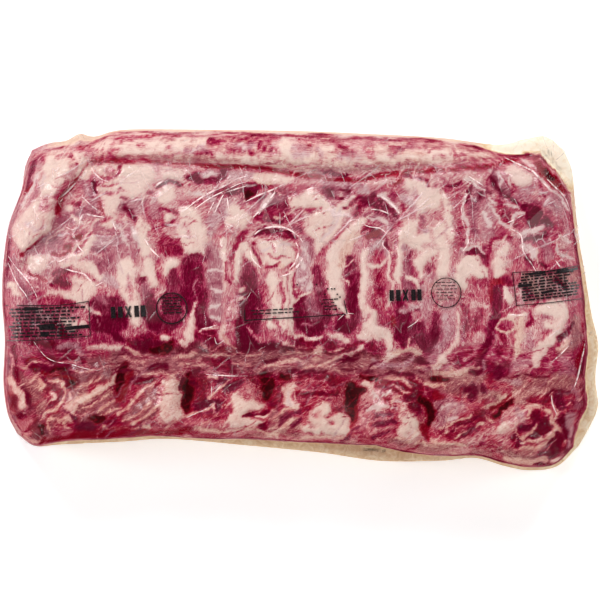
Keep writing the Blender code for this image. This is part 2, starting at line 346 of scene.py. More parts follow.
    "upper middle": """
    cream -4 72 4, 6 72 6, 14 66 9, 12 54 8, 14 44 4, 13 36 1.6
    cream 32 67 4, 27 60 6, 22 50 5, 17 42 3, 13 35 1
    frost 31 66 1.6, 24 54 1.6, 17 42 1 / 26 68 1, 20 52 1
    rose 4 66 1.4, 10 64 2, 15 67 1.4
    rose 19 34 2, 26 41 2, 34 49 1.6, 41 57 1.2
    sand 43 51 3, 36 44 5, 30 36 6, 26 26 5, 25 12 4, 25 0 3
    wine 31 27 2, 36 30 1.4 / 34 23 1.4, 39 26 1
    fresh 33 66 1.6, 38 70 2, 44 72 2, 42 62 2
    purple 46 72 3, 53 72 5, 60 67 6, 67 61 4
    wine 52 73 2.4, 60 66 2.4
    dusk 46 60 2, 54 60 3.6, 62 57 3.6, 66 52 2
    frost 50 58 .8, 57 58.5 1.4, 63 56 .9
    fresh 42 56 2, 47 50 3, 54 48 4.6, 60 46 3
    blood 50 45 1.4, 56 49 2
    silver 58 38 5, 54 34 4, 62 32 4
    wine 63 43 1, 61 38 1.4, 65 34 1
    blush 52 27 2, 58 27 2.6, 60 30 1.6
    frost 57 76 .8, 63 74 1.4, 68 69 1.2, 71 63 .6
    rose 72 78 3, 75 68 3, 74 56 3, 72 44 2.4, 71 32 2
    fresh 74 72 1, 76 62 1 / 72 57 .9, 73 50 1
    cream 80 83 4, 88 82 5, 95 76 8, 94 66 9, 99 60 6
    silver 74 74 2, 80 72 3
    dusk 88 60 2, 94 57 3.6, 100 60 2
    rose 98 83 1.4 / 88 50 1, 98 52 1
    fresh 103 88 1, 106 84 1.4, 107 79 1.6 / 86 88 .8, 94 84 .8
    """,
    "middle left": """
    ash -127 67 4, -119 67 6, -114 70 4
    purple -126 67 1.6, -123 62 2.2, -120 58 1.4
    veil -124 50 6, -118 42 5, -122 32 4
    frost -122 53 1.4, -117 45 1.6, -113 36 1
    cream -116 57 3, -113 46 3, -112 34 3.4
    rose -108 66 5, -104 56 6, -103 46 5, -100 38 4
    veil -107 70 4, -104 62 4
    fresh -101 65 1.2, -95 66 1.4, -90 63 1.2 / -99 55 1.2, -93 57 1.4, -88 61 1
    cream -96 61 2.4
    fresh -100 46 3, -97 40 6, -90 38 4, -84 41 2
    cream -82 62 5, -79 52 9, -80 42 7, -72 38 5, -74 48 6
    blush -84 54 2.4, -80 46 2
    cream -93 28 4, -96 22 4, -98 16 2.4 / -109 24 5, -108 12 5
    rose -103 28 2, -101 18 2.4, -99 11 2
    cream -125 24 6, -126 10 6, -122 -2 5, -119 -14 4
    blush -124 16 2, -123 0 2
    dusk -112 15 2.4, -111 3 3.4
    lean -115 12 1.4, -112 16 2
    purple -109 0 3, -107 -8 6, -104 -18 6, -95 -14 6
    lean -92 20 3, -91 8 6, -92 -2 7, -92 -12 7, -96 -22 5
    purple -81 27 5, -78 18 8, -77 6 9, -75 -6 8, -71 -15 6
    lean -84 29 3, -76 30 3, -70 30 2
    rose -88 27 .8, -88 16 .8 / -69 24 .6, -70 8 .6
    ash -66 40 3, -63 32 5, -62 18 6, -61 4 6, -60 -9 5.4
    dusk -67 36 2, -65 28 1.8 / -66 12 .8, -60 11 1 / -66 2 .8, -58 1 .8
    frost -66 22 .8, -58 20 1 / -65 7 .9, -57 6 1 / -64 -5 1, -57 -4 1 / -64 -11 1, -58 -13 1
    cream -56 44 2.4, -55 34 2.6, -55 24 1.8, -54 8 2.4
    cream -45 42 1.6, -44 34 3, -46 26 2.6, -47 16 2
    blush -50 42 3, -51 30 3, -51 6 3.6, -50 -6 4, -51 -16 5.4, -53 -25 5
    rose -51 28 3.2, -51 17 3.2
    blush -51 25 1.4, -51 19 1.4
    fresh -55 28 .7, -55 16 .7, -51 11 .9 / -50 31 1.4, -46 39 1.8, -42 46 2.2, -38 51 1.6
    rose -58 46 .9, -52 49 .9, -46 47 .8
    cream -51 57 4, -42 57 5
    silver -64 57 5, -61 62 5, -66 50 3
    """,
    "ring": """
    fresh -28 61 4, -18 62 5, -10 60 4
    wine -25 57 1.6, -14 57 1.8
    sand -25 58 .8 / -18 60 .9, -14 60 .7
    blush -34 46 3, -26 52 2, -16 54 1.6, -6 52 2, 0 46 2.4, 3 38 3, 0 28 3, -6 21 3, -16 18 3,
      -28 22 4, -35 32 4
    cream -25 40 5, -18 36 7, -10 38 5, -12 27 5, -24 30 4
    wine -32 47 1.2, -26 50 2.2, -18 50 2.4, -10 50 2.2, -4 46 1.4
    fresh -28 45 1, -18 46 1.4, -8 45 1 / -33 42 1.2, -33 34 1.2, -29 28 1.2 / -25 23 .8, -19 23.5 1.2,
      -14 27 .9
    rose -24 33 .9, -17 31 1, -8 31 .9 / -22 42 .9, -19 36 .9 / -10 43 .9, -5 38 .9 / -12 22 1.6,
      -6 26 1.2
    frost -16 40 1.4, -8 41 1.4 / -28 36 1, -22 37 1
    sand -13 24 2.4
    cream -41 40 2, -37 34 2.6, -34 25 2
    silver 2 44 3, 6 36 5, 3 28 5, 2 16 5, 6 10 4
    dusk 8 42 1.4, 10 33 2 / -3 54 2, 2 51 1.6
    frost -1 30 1.2, 3 24 1.6 / 2 38 1.2, 6 33 1.2 / 0 14 1, 5 17 1 / 6 9 1, 10 13 1
    lean -38 26 2.4, -37 16 6, -36 4 8, -36 -10 8, -33 -20 5
    purple -38 14 4, -38 -8 6
    cream -43 6 1.2, -41 6.4 1.6 / -44 .6 1.2, -41 .6 1
    blush -22 17 4, -18 8 8, -18 -6 8, -19 -18 7, -14 -26 4
    cream -21 16 2.4, -20 6 3, -18 -8 3.4, -18 -18 4 / -12 16 1.6, -11 -12 2, -12 -22 2
    rose -26 18 1.6, -27 4 1.2, -26 -10 1 / -14 12 1.8, -13 4 1.4, -14 -6 .9 / -19 -14 1, -15 -22 1
    fresh -4.4 18 .7, -4 2 .8, -5 -12 .7
    cream -7 20 1.2, -6.4 4 1.6, -6.4 -10 1.8, -7 -20 1.8, -3 -26 1.4
    """,
    "middle": """
    lean 11 23 2.6, 14 14 4, 16 2 5, 16 -12 5
    purple 2 0 5, 4 -12 8, 10 -20 8
    dusk 8 -2 4, 10 -12 4
    veil 2 -18 .9, 8 -19.5 .9 / 14 8 2
    cream -4 -2 .6, 1 3 .8, 8 6 .9
    cream 44 56 2.4, 36 48 5, 28 36 7, 25 22 6, 25 8 5, 27 -4 3.4
    sand 40 46 3.4, 34 38 4, 30 26 3
    rose 14 32 1.2, 24 43 1.4, 36 54 1.4 / 20 12 1, 22 0 1.2, 26 -8 1
    lean 35 29 2.6, 38 20 4.6, 38 8 6, 38 -4 6, 38 -14 6
    purple 38 14 3, 38 -6 4, 28 -19 4, 36 -20 4
    cream 33 24 .7, 38 28 .6 / 32 16 .7, 36 10 .7 / 30 -6 2, 35 -12 1
    cream 48 34 3, 48 20 3.6, 47 6 3.4, 48 -10 3.4
    blush 51 30 2.4, 51 12 2.4, 50 -14 4
    rose 56 32 4, 58 16 5, 57 2 5, 58 -8 4
    fresh 57 16 2, 58 4 2.6, 60 -3 2
    cream 50 24.6 1, 56 24.6 1.8, 60 27 1.6 / 64 34 1, 65 20 1, 66 6 1, 62 -8 1
    rose 69 32 1.6, 69 18 2, 68 6 1.6
    cream 74 46 3, 73 34 2.6, 72 22 2, 70 12 1.4
    cream 79 52 6, 77 45 5, 86 42 5, 96 46 7, 98 53 7
    silver 76 38 2.4 / 90 50 3
    umber 93 55 2.6, 97 56 4
    cream 91 35 3, 98 36 3, 104 39 2
    blush 89 40.5 1.2, 95 40 1.4, 101 41.5 1.2
    lean 81 33 1.6, 80 24 3.4, 80 12 4, 78 2 4
    dusk 78 24 2.4, 77 12 3, 82 4 3
    cream 77 19 .8, 82 16 1.4, 86 10 1.2
    cream 89 30 4, 88 23 3, 88 17 1.6
    rose 93 26 1.6, 90 21 1.4
    veil 93 20 2, 96 15 3 / 90 8 3
    lean 103 30 2.6, 102 24 3.4, 102 18 2.4 / 96 26 1.2, 94 20 1.6 / 88 12 1.4
    cream 109 64 2, 108 50 2.6, 108 38 2.4, 107 22 1.4
    blush 112 46 3, 112 38 2
    silver 110 22 3, 110 12 3
    cream 116 24 3, 124 27 6, 124 20 8, 118 13 6, 129 24 4
    fresh 114 62 2, 116 50 2.4, 118 38 1.4
    rose 121 52 1.6, 123 46 1.2
    purple 122 33 1.2, 127 35 2.6, 132 33 1.2
    fresh 131 16 2.6, 136 12 3.6
    lean 135 38 1.8, 136 28 2, 136 19 1.8
    umber 103 10 6, 108 4 7
    veil 107 6 7
    rose 122 4 4, 128 0 4, 120 -3 4
    """,
    # the dusk and veil strokes at x 125 to 140, y 48 to 82 below are painted shade: a dark mauve gradient,
    # lighter to the right
    "right corner": """
    blush 106 90 4, 122 90 4 / 97 60 7, 104 40 6, 104 20 6, 106 0 6
    cream 101 52 4, 104 36 4, 103 20 4.5
    pink 108 84 3, 112 70 4, 113 54 4, 114 40 3
    cream 105 76 2, 108 60 2.4, 110 44 1.6
    rose 110 86 2, 117 68 2, 117 48 2.2, 117 36 1.6
    dusk 130 82 5, 127 72 5, 125 60 3, 126 50 3
    veil 134 68 5, 137 56 6, 135 48 5
    wine 124 84 1.6, 121 76 1.6, 120 70 1 / 131 82 1.6, 129 74 1.2 / 116 86 1, 108 82 1
    frost 120 88 1, 126 86 1, 133 80 1 / 119 76 1, 118 66 1, 121 54 .9, 122 42 .9 / 132 62 1.2,
      138 54 1.6
    dusk 140 92 3, 143 84 3.4, 148 77 4
    frost 136 93 .9, 143 93 .9, 145 82 .9 / 150 92 1, 152 82 1 / 136 74 .9, 144 69 1, 156 66 1,
      163 66 .8
    wine 138 88 1.2, 144 80 1.6, 150 74 1.8, 158 70 1.4
    blush 152 94 4, 162 88 6, 168 83 5
    cream 154 93 4, 162 87 5
    rose 150 104 2, 160 104 3, 169 102 4, 172 97 3
    frost 160 102 .9, 168 99 1, 173 94 .9 / 172 90 1, 180 83 1, 190 72 1, 195 64 .9
    blood 172 104 1.6, 174 96 2.6, 179 92 4, 186 86 4, 191 80 2.4
    clot 179 94 2, 184 88 2.6
    fresh 190 90 2.6, 194 84 2.6, 195 76 1.8, 198 64 1.6
    veil 160 75 4, 170 77 5, 180 72 5, 186 66 4
    blush 171 78 2.4, 178 72 2
    purple 164 67 4, 170 62 5.6, 172 56 4.6, 181 56 3
    fresh 144 69 2.4, 148 61 3.4, 156 56 3.6
    frost 137 70 .9, 143 60 1, 150 52 1, 156 60 .9, 162 62 .9
    blush 150 50 3, 158 48 3.4
    blood 199 64 1.4, 202 52 2, 205 40 1.6, 207 28 1.2
    frost 160 48 1.6, 169 50 2.6, 177 53 1.6 / 163 38 3, 170 34 3, 168 28 2 / 166 44 .9, 175 47 .9
    wine 163 43.6 1.2, 172 43.6 1.6, 178 48 1.4 / 164 30 1.6, 168 25 1.8
    veil 177 40 4, 180 32 4
    wine 173 26 1.4, 178 26 1.8
    blush 190 44 4, 192 36 5, 194 29 4
    rose 184 46 1.6, 185 34 1.6 / 190 34 1, 196 36 1
    frost 187 40 .9, 187 32 .9, 198 31 .9 / 190 46 .9, 197 42 .9
    blush 141 40 5, 148 36 6, 150 28 4
    cream 143 34 2.4, 149 38 2
    fresh 137 45 1.2, 153 45 1.2 / 137 43 1.2, 137 24 1.2
    rose 152 31 2, 158 24 2.4
    cream 124 26 6, 131 21 6, 122 18 4 / 144 28 3, 145 20 3
    wine 122 36 1.8, 128 35 2.6, 133 33 1.4
    frost 118 37 .8, 126 39.4 .8, 133 34 .8
    rose 126 12 5, 126 2 6, 130 -4 4
    fresh 130 12 3, 136 12 4, 152 12 3 / 124 4 2
    blood 142 14 3, 141 4 4, 141 -4 3.4
    cream 148 7 2.4, 152 0 2.4
    umber 166 14 6, 176 10 7, 192 12 7, 200 18 5
    blush 172 17 4, 180 8 5, 196 6 4 / 160 4 3
    wine 164 8 2, 168 2 1.6 / 186 14 2, 190 8 1.6
    """,
    "right": """
    blush 166 -12 5, 170 -18 7, 167 -28 7, 164 -37 4
    veil 165 -26 3, 168 -34 3 / 179 -12 3, 177 -20 2
    fresh 166 -9 1.6, 168 -14 1.6, 163 -18 1.2 / 171 -4 1.6
    rose 150 -18 5, 152 -28 6, 148 -38 6
    fresh 146 -20 3, 148 -30 2.4, 144 -38 3 / 154 -36 1.6, 149 -44 2.4
    purple 142 8 3, 142 -6 4, 140 -18 3.4, 136 -30 3.2, 133 -40 2.8, 131 -52 1.4
    blush 143 -26 .8, 146 -33 1 / 150 -24 .8, 154 -32 1 / 146 -40 .8, 152 -42 .8
    cream 174 -8 3, 181 -6 5, 189 -9 6, 187 -17 5, 180 -18 3
    cream 152 -10.5 1, 162 -11 1
    sand 160 -14 2, 160 -24 2.8, 158 -34 2.8, 156 -41 1.4
    sand 142 -20 .8, 146 -14 .8, 153 -13 .8, 157 -20 .8, 150 -24 .8, 143 -21 .8
    rose 197 -7 2.4, 197 -13 2.4, 193 -19 1.4
    cream 187 -23 2, 181 -29 4, 174 -37 5, 171 -44 4.4, 167 -52 2
    umber 200 -16 4, 200 -26 5, 194 -32 4, 190 -38 4
    wine 198 -17 .9, 194 -22 1.4, 188 -28 1.8
    rose 187 -33 2.4, 180 -40 3, 175 -47 2
    sand 193 -29 1.6, 191 -34 2.4, 187 -36 2
    blood 208 -4 1.2, 208 -20 1.4, 206 -32 1.8, 203 -42 1.8, 201 -50 1.6
    blush 196 -41 3.6, 192 -46 3 / 197 -54 2.6, 188 -57 2.4
    rose 180 -54 1.8, 188 -50 1.6, 194 -48 1.2
    veil 192 -43 3, 198 -50 3, 190 -54 2.6
    blush 176 -50 3, 184 -45 2.4 / 182 -58 2, 194 -57 2
    wine 209 -36 .9, 207 -46 1, 207 -60 1.4, 206 -76 1.6, 205 -86 1.2
    veil 151 -50 3, 158 -47 4, 165 -46 2
    blush 154 -51 2.4, 161 -50 2.6
    fresh 150 -55.4 .9, 158 -54.8 1
    fresh 139 -49 4, 142 -55 5, 141 -61 3, 148 -51 2
    purple 143 -50 2, 144 -56 2.4
    silver 134 -44 1.2, 133.5 -50 1.2 / 145 -63 3, 150 -59 2.8, 158 -59 2
    rose 169 -52 3, 175 -50 3 / 166 -58 2.4
    umber 176 -60 5, 172 -65 4
    """,
    "lower left": """
    ash -214 -34 2, -214 -56 2, -213 -76 2, -207 -90 2
    blush -200 -33 3.6, -189 -33 3, -196 -40 4
    fresh -207 -34 1.6, -206 -48 2, -204 -58 1.6 / -194 -31 2, -182 -32 3, -170 -37 4, -160 -40 3
    cream -210 -40 1, -209 -56 1.4, -204 -66 3, -202 -76 3.4
    silver -176 -33 2, -164 -33 3, -158 -39 2
    cream -153 -34 1.4, -145 -33.5 1.8, -138 -35 1.8, -131 -35 2
    fresh -198 -48 5, -182 -46 5, -168 -48 6, -158 -46 3
    wine -193 -46 2, -182 -48 3, -170 -50 4 / -186 -56 3, -174 -58 4, -164 -62 4
    blood -186 -52 1.4, -176 -54 1.6, -166 -58 1.6 / -196 -44 1.2, -184 -43 1.4
    clot -178 -50 1.8, -171 -50 1.8 / -192 -50 1 / -168 -60 1.6, -162 -64 1.2
    blush -201 -46 2.4, -197 -54 2.4 / -192 -42 1.4, -186 -44 1
    sand -199 -50 1.2, -190 -46 .9, -180 -47 .7 / -196 -58 1.6, -188 -53 1.2 / -176 -44 .7, -164 -46 .9,
      -152 -49 .8
    sand -190 -55 2.6, -185 -59 2.6, -191 -64 3 / -180 -57 1.8, -175 -60 2.4, -172 -64 1.6
    fresh -180 -66 3.6, -175 -70 4, -180 -74 3
    cream -181 -67 1, -178 -71 1.2, -182 -73 .8
    umber -193 -66 4, -189 -74 5, -186 -82 4 / -160 -52 3, -150 -54 4, -142 -52 3 / -152 -58 3,
      -160 -66 4, -168 -72 3
    wine -197 -74 3, -198 -69 2 / -205 -83 2, -200 -86 2.4
    umber -158 -78 5, -148 -74 5, -138 -68 4 / -156 -87 4, -146 -82 4, -136 -78 4 / -176 -84 3,
      -182 -92 3
    sand -131 -50 2.4, -134 -57 3.2, -141 -63.6 3, -150 -68 2.6, -160 -71.6 3, -166 -78 3.8,
      -168 -86 3.6, -173 -89 2.4
    cream -134 -53 1.6, -137 -60 1.6, -146 -66 1.4, -158 -70.6 1.6, -166 -80 2, -168 -86 1.6
    sand -136 -47 .8, -146 -50 .9, -158 -52 .8, -168 -50 .6 / -144 -56 .9, -152 -61 1, -162 -63 .8 /
      -133 -66 .9, -144 -72 1, -156 -77 .9 / -132 -72 .9, -142 -77 1.1, -154 -83 1 / -130 -78 1.2,
      -142 -82 1, -152 -88 .8 / -171 -66 .8, -173 -76 1, -182 -81 1.1, -189 -85 1 / -181 -98 .9,
      -184 -88 .9, -176 -86 1, -171 -92 .9
    blush -196 -86 3, -204 -92 4, -198 -97 3 / -178 -96 3, -168 -96 3
    clot -189 -91 2.4, -188 -97 1.6 / -149 -86 3, -144 -86 2.4
    lean -170 -80 1, -162 -88 1.6 / -160 -92 3, -152 -92 3
    fresh -138 -91 4, -131 -88 4, -124 -86 2 / -128 -80 1.2, -118 -72 1.2
    sand -143 -91 .9, -134 -94 1, -122 -93.6 1, -108 -92 .9
    blood -182 -103 1.6, -168 -101 2.6, -154 -98 4, -140 -98 4.4, -122 -98 4.4, -104 -98 3.6,
      -92 -97 2.4, -80 -95 1
    fresh -160 -101 .8, -140 -101.6 .9, -120 -101 1, -104 -100 .9 / -140 -96 .8, -118 -96 .8
    straw -176 -106 1.6, -158 -105 1.2, -140 -104.6 1, -120 -104 1, -104 -103 1
    sand -203 -100 2.4, -196 -103 2.6, -189 -103 2
    blood -198 -106 .8, -190 -106 1, -186 -101 1
    """,
    "dark pool": """
    purple -136 -24 3, -128 -28 2.4
    fresh -124 -30 3, -114 -28 4, -102 -30 6, -94 -28 4, -98 -22 3
    wine -120 -33 2, -108 -34 5, -98 -34 5
    clot -106 -36 3.4, -99 -36 5, -95 -32 3
    cream -98 -27.6 2.9
    blush -92 -23 1.6, -88 -24 2, -92 -28 1.2
    sand -126 -34 1.2, -118 -38.5 1.6, -111 -42 1.3, -102 -43 1.2, -95 -42 .9
    cream -75.5 -2 .5, -78 -12 2, -80 -22 3.6, -80 -26 4 / -86 -30 2, -82 -31 1
    fresh -73 -25 5, -66 -25 4, -62 -29 3
    lean -70 -14 4
    cream -73 -21.6 .9, -66 -21 1.1, -60 -18.6 .9
    blush -52 -16 4.6, -53 -24 4.4, -51 -31 2
    cream -56 -18 1.6, -57 -25 1.6
    fresh -46 -16 1.8, -44 -24 2
    purple -42 -15 3.4, -41 -26 5, -40 -34 3.4
    sand -71 -31 1, -66 -34.5 1, -61 -37 .9, -56 -32 .9 / -56 -24 .8, -50 -33 .8, -44 -36 .8
    """,
    "fibrous zone": """
    umber -134 -43 4, -112 -46 4, -90 -44 5, -62 -43 5, -40 -45 5
    sand -92 -44 1.2, -84 -41 1.6, -74 -38 1.2 / -92 -53 1.2, -80 -48.6 1.6, -70 -46 1.4, -60 -41 .9 /
      -110 -53 .8, -100 -53.6 .9, -90 -54.6 .9
    wine -110 -49 1.4, -98 -48 2 / -86 -36 1.2
    sand -130 -41 .8, -122 -43.6 .8, -114 -44 .7 / -60 -39.6 .7, -50 -40 .8, -40 -38 .7 / -50 -45 .8,
      -38 -47 .8 / -88 -48 .7, -74 -43 .7, -62 -39 .6
    fresh -70 -43 2, -60 -45 3, -50 -45 2 / -62 -50 2, -48 -50 2
    clot -127 -48 3, -129 -57 3.6, -130 -66 3
    blood -123 -52 1.6, -125 -62 2, -131 -71 3
    wine -121 -60 3, -114 -58 3.4, -107 -57 2
    rose -122 -66 3, -116 -64 2
    umber -126 -86 4, -116 -78 5, -106 -68 5 / -112 -86 4, -104 -78 4
    sand -134 -84 1, -124 -76 1, -114 -66 1, -104 -60 .9 / -130 -90 1, -118 -82 1.1, -108 -73 1.1 /
      -122 -91 .9, -110 -83 1.1, -102 -76 1
    cream -99 -60 3.4, -92 -62 6, -91 -70 8, -95 -77 7, -98 -84 4, -88 -82 4
    blush -101 -70 2, -100 -62 2 / -84 -72 1.4
    clot -79 -54 3, -80 -62 4.6, -81 -70 4, -82 -80 2.4
    wine -76 -52 3, -75 -62 2.4 / -84 -56 1.4, -86 -64 1
    fresh -71 -54 3, -70 -62 3.6, -72 -70 4
    purple -66 -74 4, -72 -78 3.6, -60 -76 4
    lean -62 -58 2.4, -54 -58 3, -52 -64 3.4, -44 -60 2.4
    sand -68 -58 .8, -56 -56 .8 / -66 -70 .8, -58 -64 .8, -50 -58 .7 / -84 -85.6 .9, -74 -82 1.1,
      -66 -78 1.1, -62 -74 .9
    cream -63 -76 2, -62.6 -80 1.2
    cream -46 -70 3, -44 -76 5, -43 -84 5, -50 -87 3
    blush -82 -89 2.6, -70 -90 3, -58 -89 3, -46 -92 3 / -40 -66 4
    sand -76 -93 1, -60 -94 1.2, -46 -94 1
    """,
    "fibrous middle": """
    purple -38 -28 4, -33 -34 4 / -26 -34 2.6, -20 -34 2.4
    blush -40 -21 .8, -34 -26 1.8, -28 -28.6 1.8, -21 -29 1.6 / -16 -26 4, -9 -29 4
    fresh -14 -32 2.4 / -2 -32 3, 10 -32 4.4, 22 -32 4
    cream -8 -25 1, -1 -27 1.2, 8 -27.4 1.2, 17 -26.6 1.2 / -12 -31 1.6, -6 -32 1.6
    cream 22 -25 1.2, 28 -26 2, 34 -30 2
    umber -30 -40 4, -10 -41 5, 4 -42 5, 22 -43 5, 38 -44 4
    sand 11 -40 3.6, 13 -36 3
    cream 56 -24 4, 50 -30 2, 44 -36 1.6, 34 -41 1, 24 -43 .8 / 53 -12 2, 51 -20 3.6, 46 -27 3
    fresh 46 -30 1.4, 38 -34 2, 30 -38 2.4
    wine -26 -46 1.2, -18 -44 1.4 / 26 -46 1.6, 34 -44 2, 42 -41 1.4 / -8 -51 1, 6 -51 1.2, 20 -52 1
    sand -38 -41 .8, -26 -39 .8 / -30 -50 .9, -18 -47.6 1.2, -8 -44.6 1.4, 2 -45 .9 / 0 -38 .7,
      -10 -37 .7 / 4 -48 .8, 16 -46 .9, 26 -41 .8 / 26 -51 1, 34 -53 1.2, 46 -47.4 1 / 20 -36 .7,
      30 -36 .8
    umber 34 -50 3, 46 -49 3
    fresh -34 -56 3, -32 -66 2 / -8 -60 4, -14 -66 3, -20 -76 3
    clot -26 -54 3.4, -23 -62 5.4, -24 -69 3 / -14 -55 2.4, -8 -56 2.6
    blush -42 -66 4, -36 -68 4, -34 -62 2
    cream -5 -62 2.4, -9 -66 3.4, -8 -73 3.4, -3 -77 2
    frost -9 -68 1.2, -7 -75 1.8
    fresh 2 -56 3, 14 -56 3, 26 -60 3 / 2 -66 3.4, 14 -67 3.4, 26 -69 3
    rose -2 -61 1, 8 -60 1.2, 20 -63 1 / 4 -71 1, 16 -71.6 1.2
    blush -2 -63.6 .9, 8 -64 1, 20 -65.6 .9 / 2 -58 .8, 14 -58.6 .9, 26 -63 .8 / 0 -69.6 .8,
      12 -69.6 .9, 24 -72 .8
    wine 4 -66 .8, 16 -67.6 .9, 26 -70 1
    clot 37 -61 3, 38 -68 6, 38 -76 4, 38 -84 2.4, 35 -92 1.6 / 44 -66 2.6, 49 -65 1.2 / 46 -55 2,
      54 -57.6 3.4
    blood 41 -78 1.4, 40 -88 1, 33 -96 1.6
    """,
    "lower middle": """
    cream -44 -76 3, -34 -76 3.4, -27 -76 2 / -46 -88 3, -36 -90 2.6, -28 -91 1.4
    wine -40 -83 1.4, -31 -84 2, -24 -81 1.6 / -33 -95 1, -27 -92 2
    cream -34 -84.6 .7, -26 -85 .8, -20 -80.6 .7
    umber -18 -84 4, -10 -88 5, -2 -92 4 / -20 -92 3, -12 -96 3
    lean -16 -90 1.2, -8 -84 1.6, 0 -80 1.2 / -6 -91 1.6, 0 -87 1.6 / -18 -94 1.2
    sand -20 -86 .8, -12 -81 .9, -4 -77 .9 / -14 -92 .8, -6 -87 .8
    fresh 0 -76 1.4, 6 -77 2
    cream 16 -79 5, 13 -86 5, 22 -92 6, 30 -86 6, 30 -94 4, 12 -94 4, 2 -94 3
    blush 13 -82 2.4 / 23 -89 2.6 / 8 -92 2
    rose 23.6 -90 1.4 / 16 -97 1.6
    fresh 25 -79.6 1.6, 30 -79 1.2 / 33 -84 1.2
    blush -48 -96 3, -30 -98 3, -12 -100 3, 6 -101 3, 24 -102 3, 40 -103 3
    umber -40 -99 1, -20 -97 1.2, -4 -99 1.2 / 26 -105 1.6, 40 -103 1.6
    rose -26 -96 1, -10 -99 1 / 4 -98 .9, 14 -103 1.4, 22 -103 1.6
    lean 8 -105 .9, 20 -105.6 1, 32 -104 .9 / 36 -99 1.6, 30 -101 1.4
    sand -46 -94 .8, -30 -94.6 .8, -16 -98 .8 / -6 -103 .8, 10 -100 .8, 30 -100 .8
    blush 50 -68 4, 49 -76 4, 46 -84 3, 45 -92 3
    cream 46 -60 2.4, 50 -63 2.4
    """,
    "right middle": """
    rose 57 -4 5, 60 -14 4, 66 -4 3
    blush 66 -30 3, 62 -22 4
    blood 66.6 -12 1.6, 67 -18 1.2
    cream 48 -6 2, 54 -12 2, 52 -20 3.4, 60 -22 3, 65 -30 2.6, 66 -37 3, 60 -43 2.6
    fresh 50 -33 2.4, 55 -35 4.4, 60 -36 3
    rose 53 -30 1.2, 58 -31 1.2, 62 -37 1
    purple 72 -3 4, 75 -15 6, 74 -27 6 / 84 -8 2
    lean 81 -20 4, 80 -30 3
    silver 72 -8 1.8, 78 -7 2.2, 85 -3.6 1.6
    veil 90 -3 5, 91 -10 5, 90 -18 3
    lean 87 -20 4, 88 -30 6, 94 -35 5, 98 -22 4, 101 -10 3
    sand 68 -37 1.4, 78 -36 1.8, 86 -40 1.2 / 77 -33 .9, 79 -29 .7 / 84 -34 .7, 87 -40 .8
    veil 108 -6 5, 107 -16 5.6, 106 -26 5.4, 101 -36 4.4, 96 -44 3.4, 91 -50 1
    silver 106 -10 2, 106 -24 2, 101 -34 2
    cream 114 -10 1.4, 114.4 -24 1.4, 113 -34 2, 105 -42 2.6, 99 -49 3
    rose 120 -5 4, 124 -14 6, 121 -24 5
    fresh 118 -3 2, 123 -13 2, 120 -22 2
    blush 127 -4 3, 133 -5 2 / 112 -44 2.4, 106 -49 3
    fresh 130 -10 2.4, 129 -18 3 / 134 -34 2.4, 131 -41 2.6
    blush 132 -24 3.4, 127 -32 3, 120 -33 2
    rose 111 -41 2.4, 118 -39 4, 125 -37 3, 118 -46 3.4, 125 -45 4
    fresh 108 -45 1, 116 -42 1.2, 125 -36 1.2 / 115 -49 1.2, 122 -45 1.4, 128 -42 1.2
    blush 110 -42 .8, 118 -37 .8 / 119 -44 .8, 127 -39 .7
    wine 88 -44 2.4, 93 -46 2.6 / 84 -50 1, 90 -52 1
    silver 53 -44 1.4, 60 -47.6 2.6, 72 -47 2.6, 82 -43 1.8
    umber 54 -51 2, 70 -51 2, 84 -50 1.6 / 112 -56 3, 122 -56 3
    sand 98 -53 2, 108 -52 3, 118 -52 2.4, 130 -49 1.4
    wine 58 -54 1, 72 -53.4 1.2, 90 -57.6 2 / 124 -52 1.4, 130 -53 1.4
    clot 96 -56 1.6, 106 -58 2
    fresh 62 -60 3, 76 -60 4, 90 -64 4, 98 -70 3
    sand 62 -57 1, 74 -58 1.4, 82 -62 1 / 84 -56 1.2, 94 -60 1.2, 104 -63 1.6 / 70 -64 .9, 80 -66 .9
    umber 108 -63 3.4, 113 -66 3
    purple 120 -64 2.6, 127 -64 3.4, 124 -71 2.4 / 135 -64 3
    """,
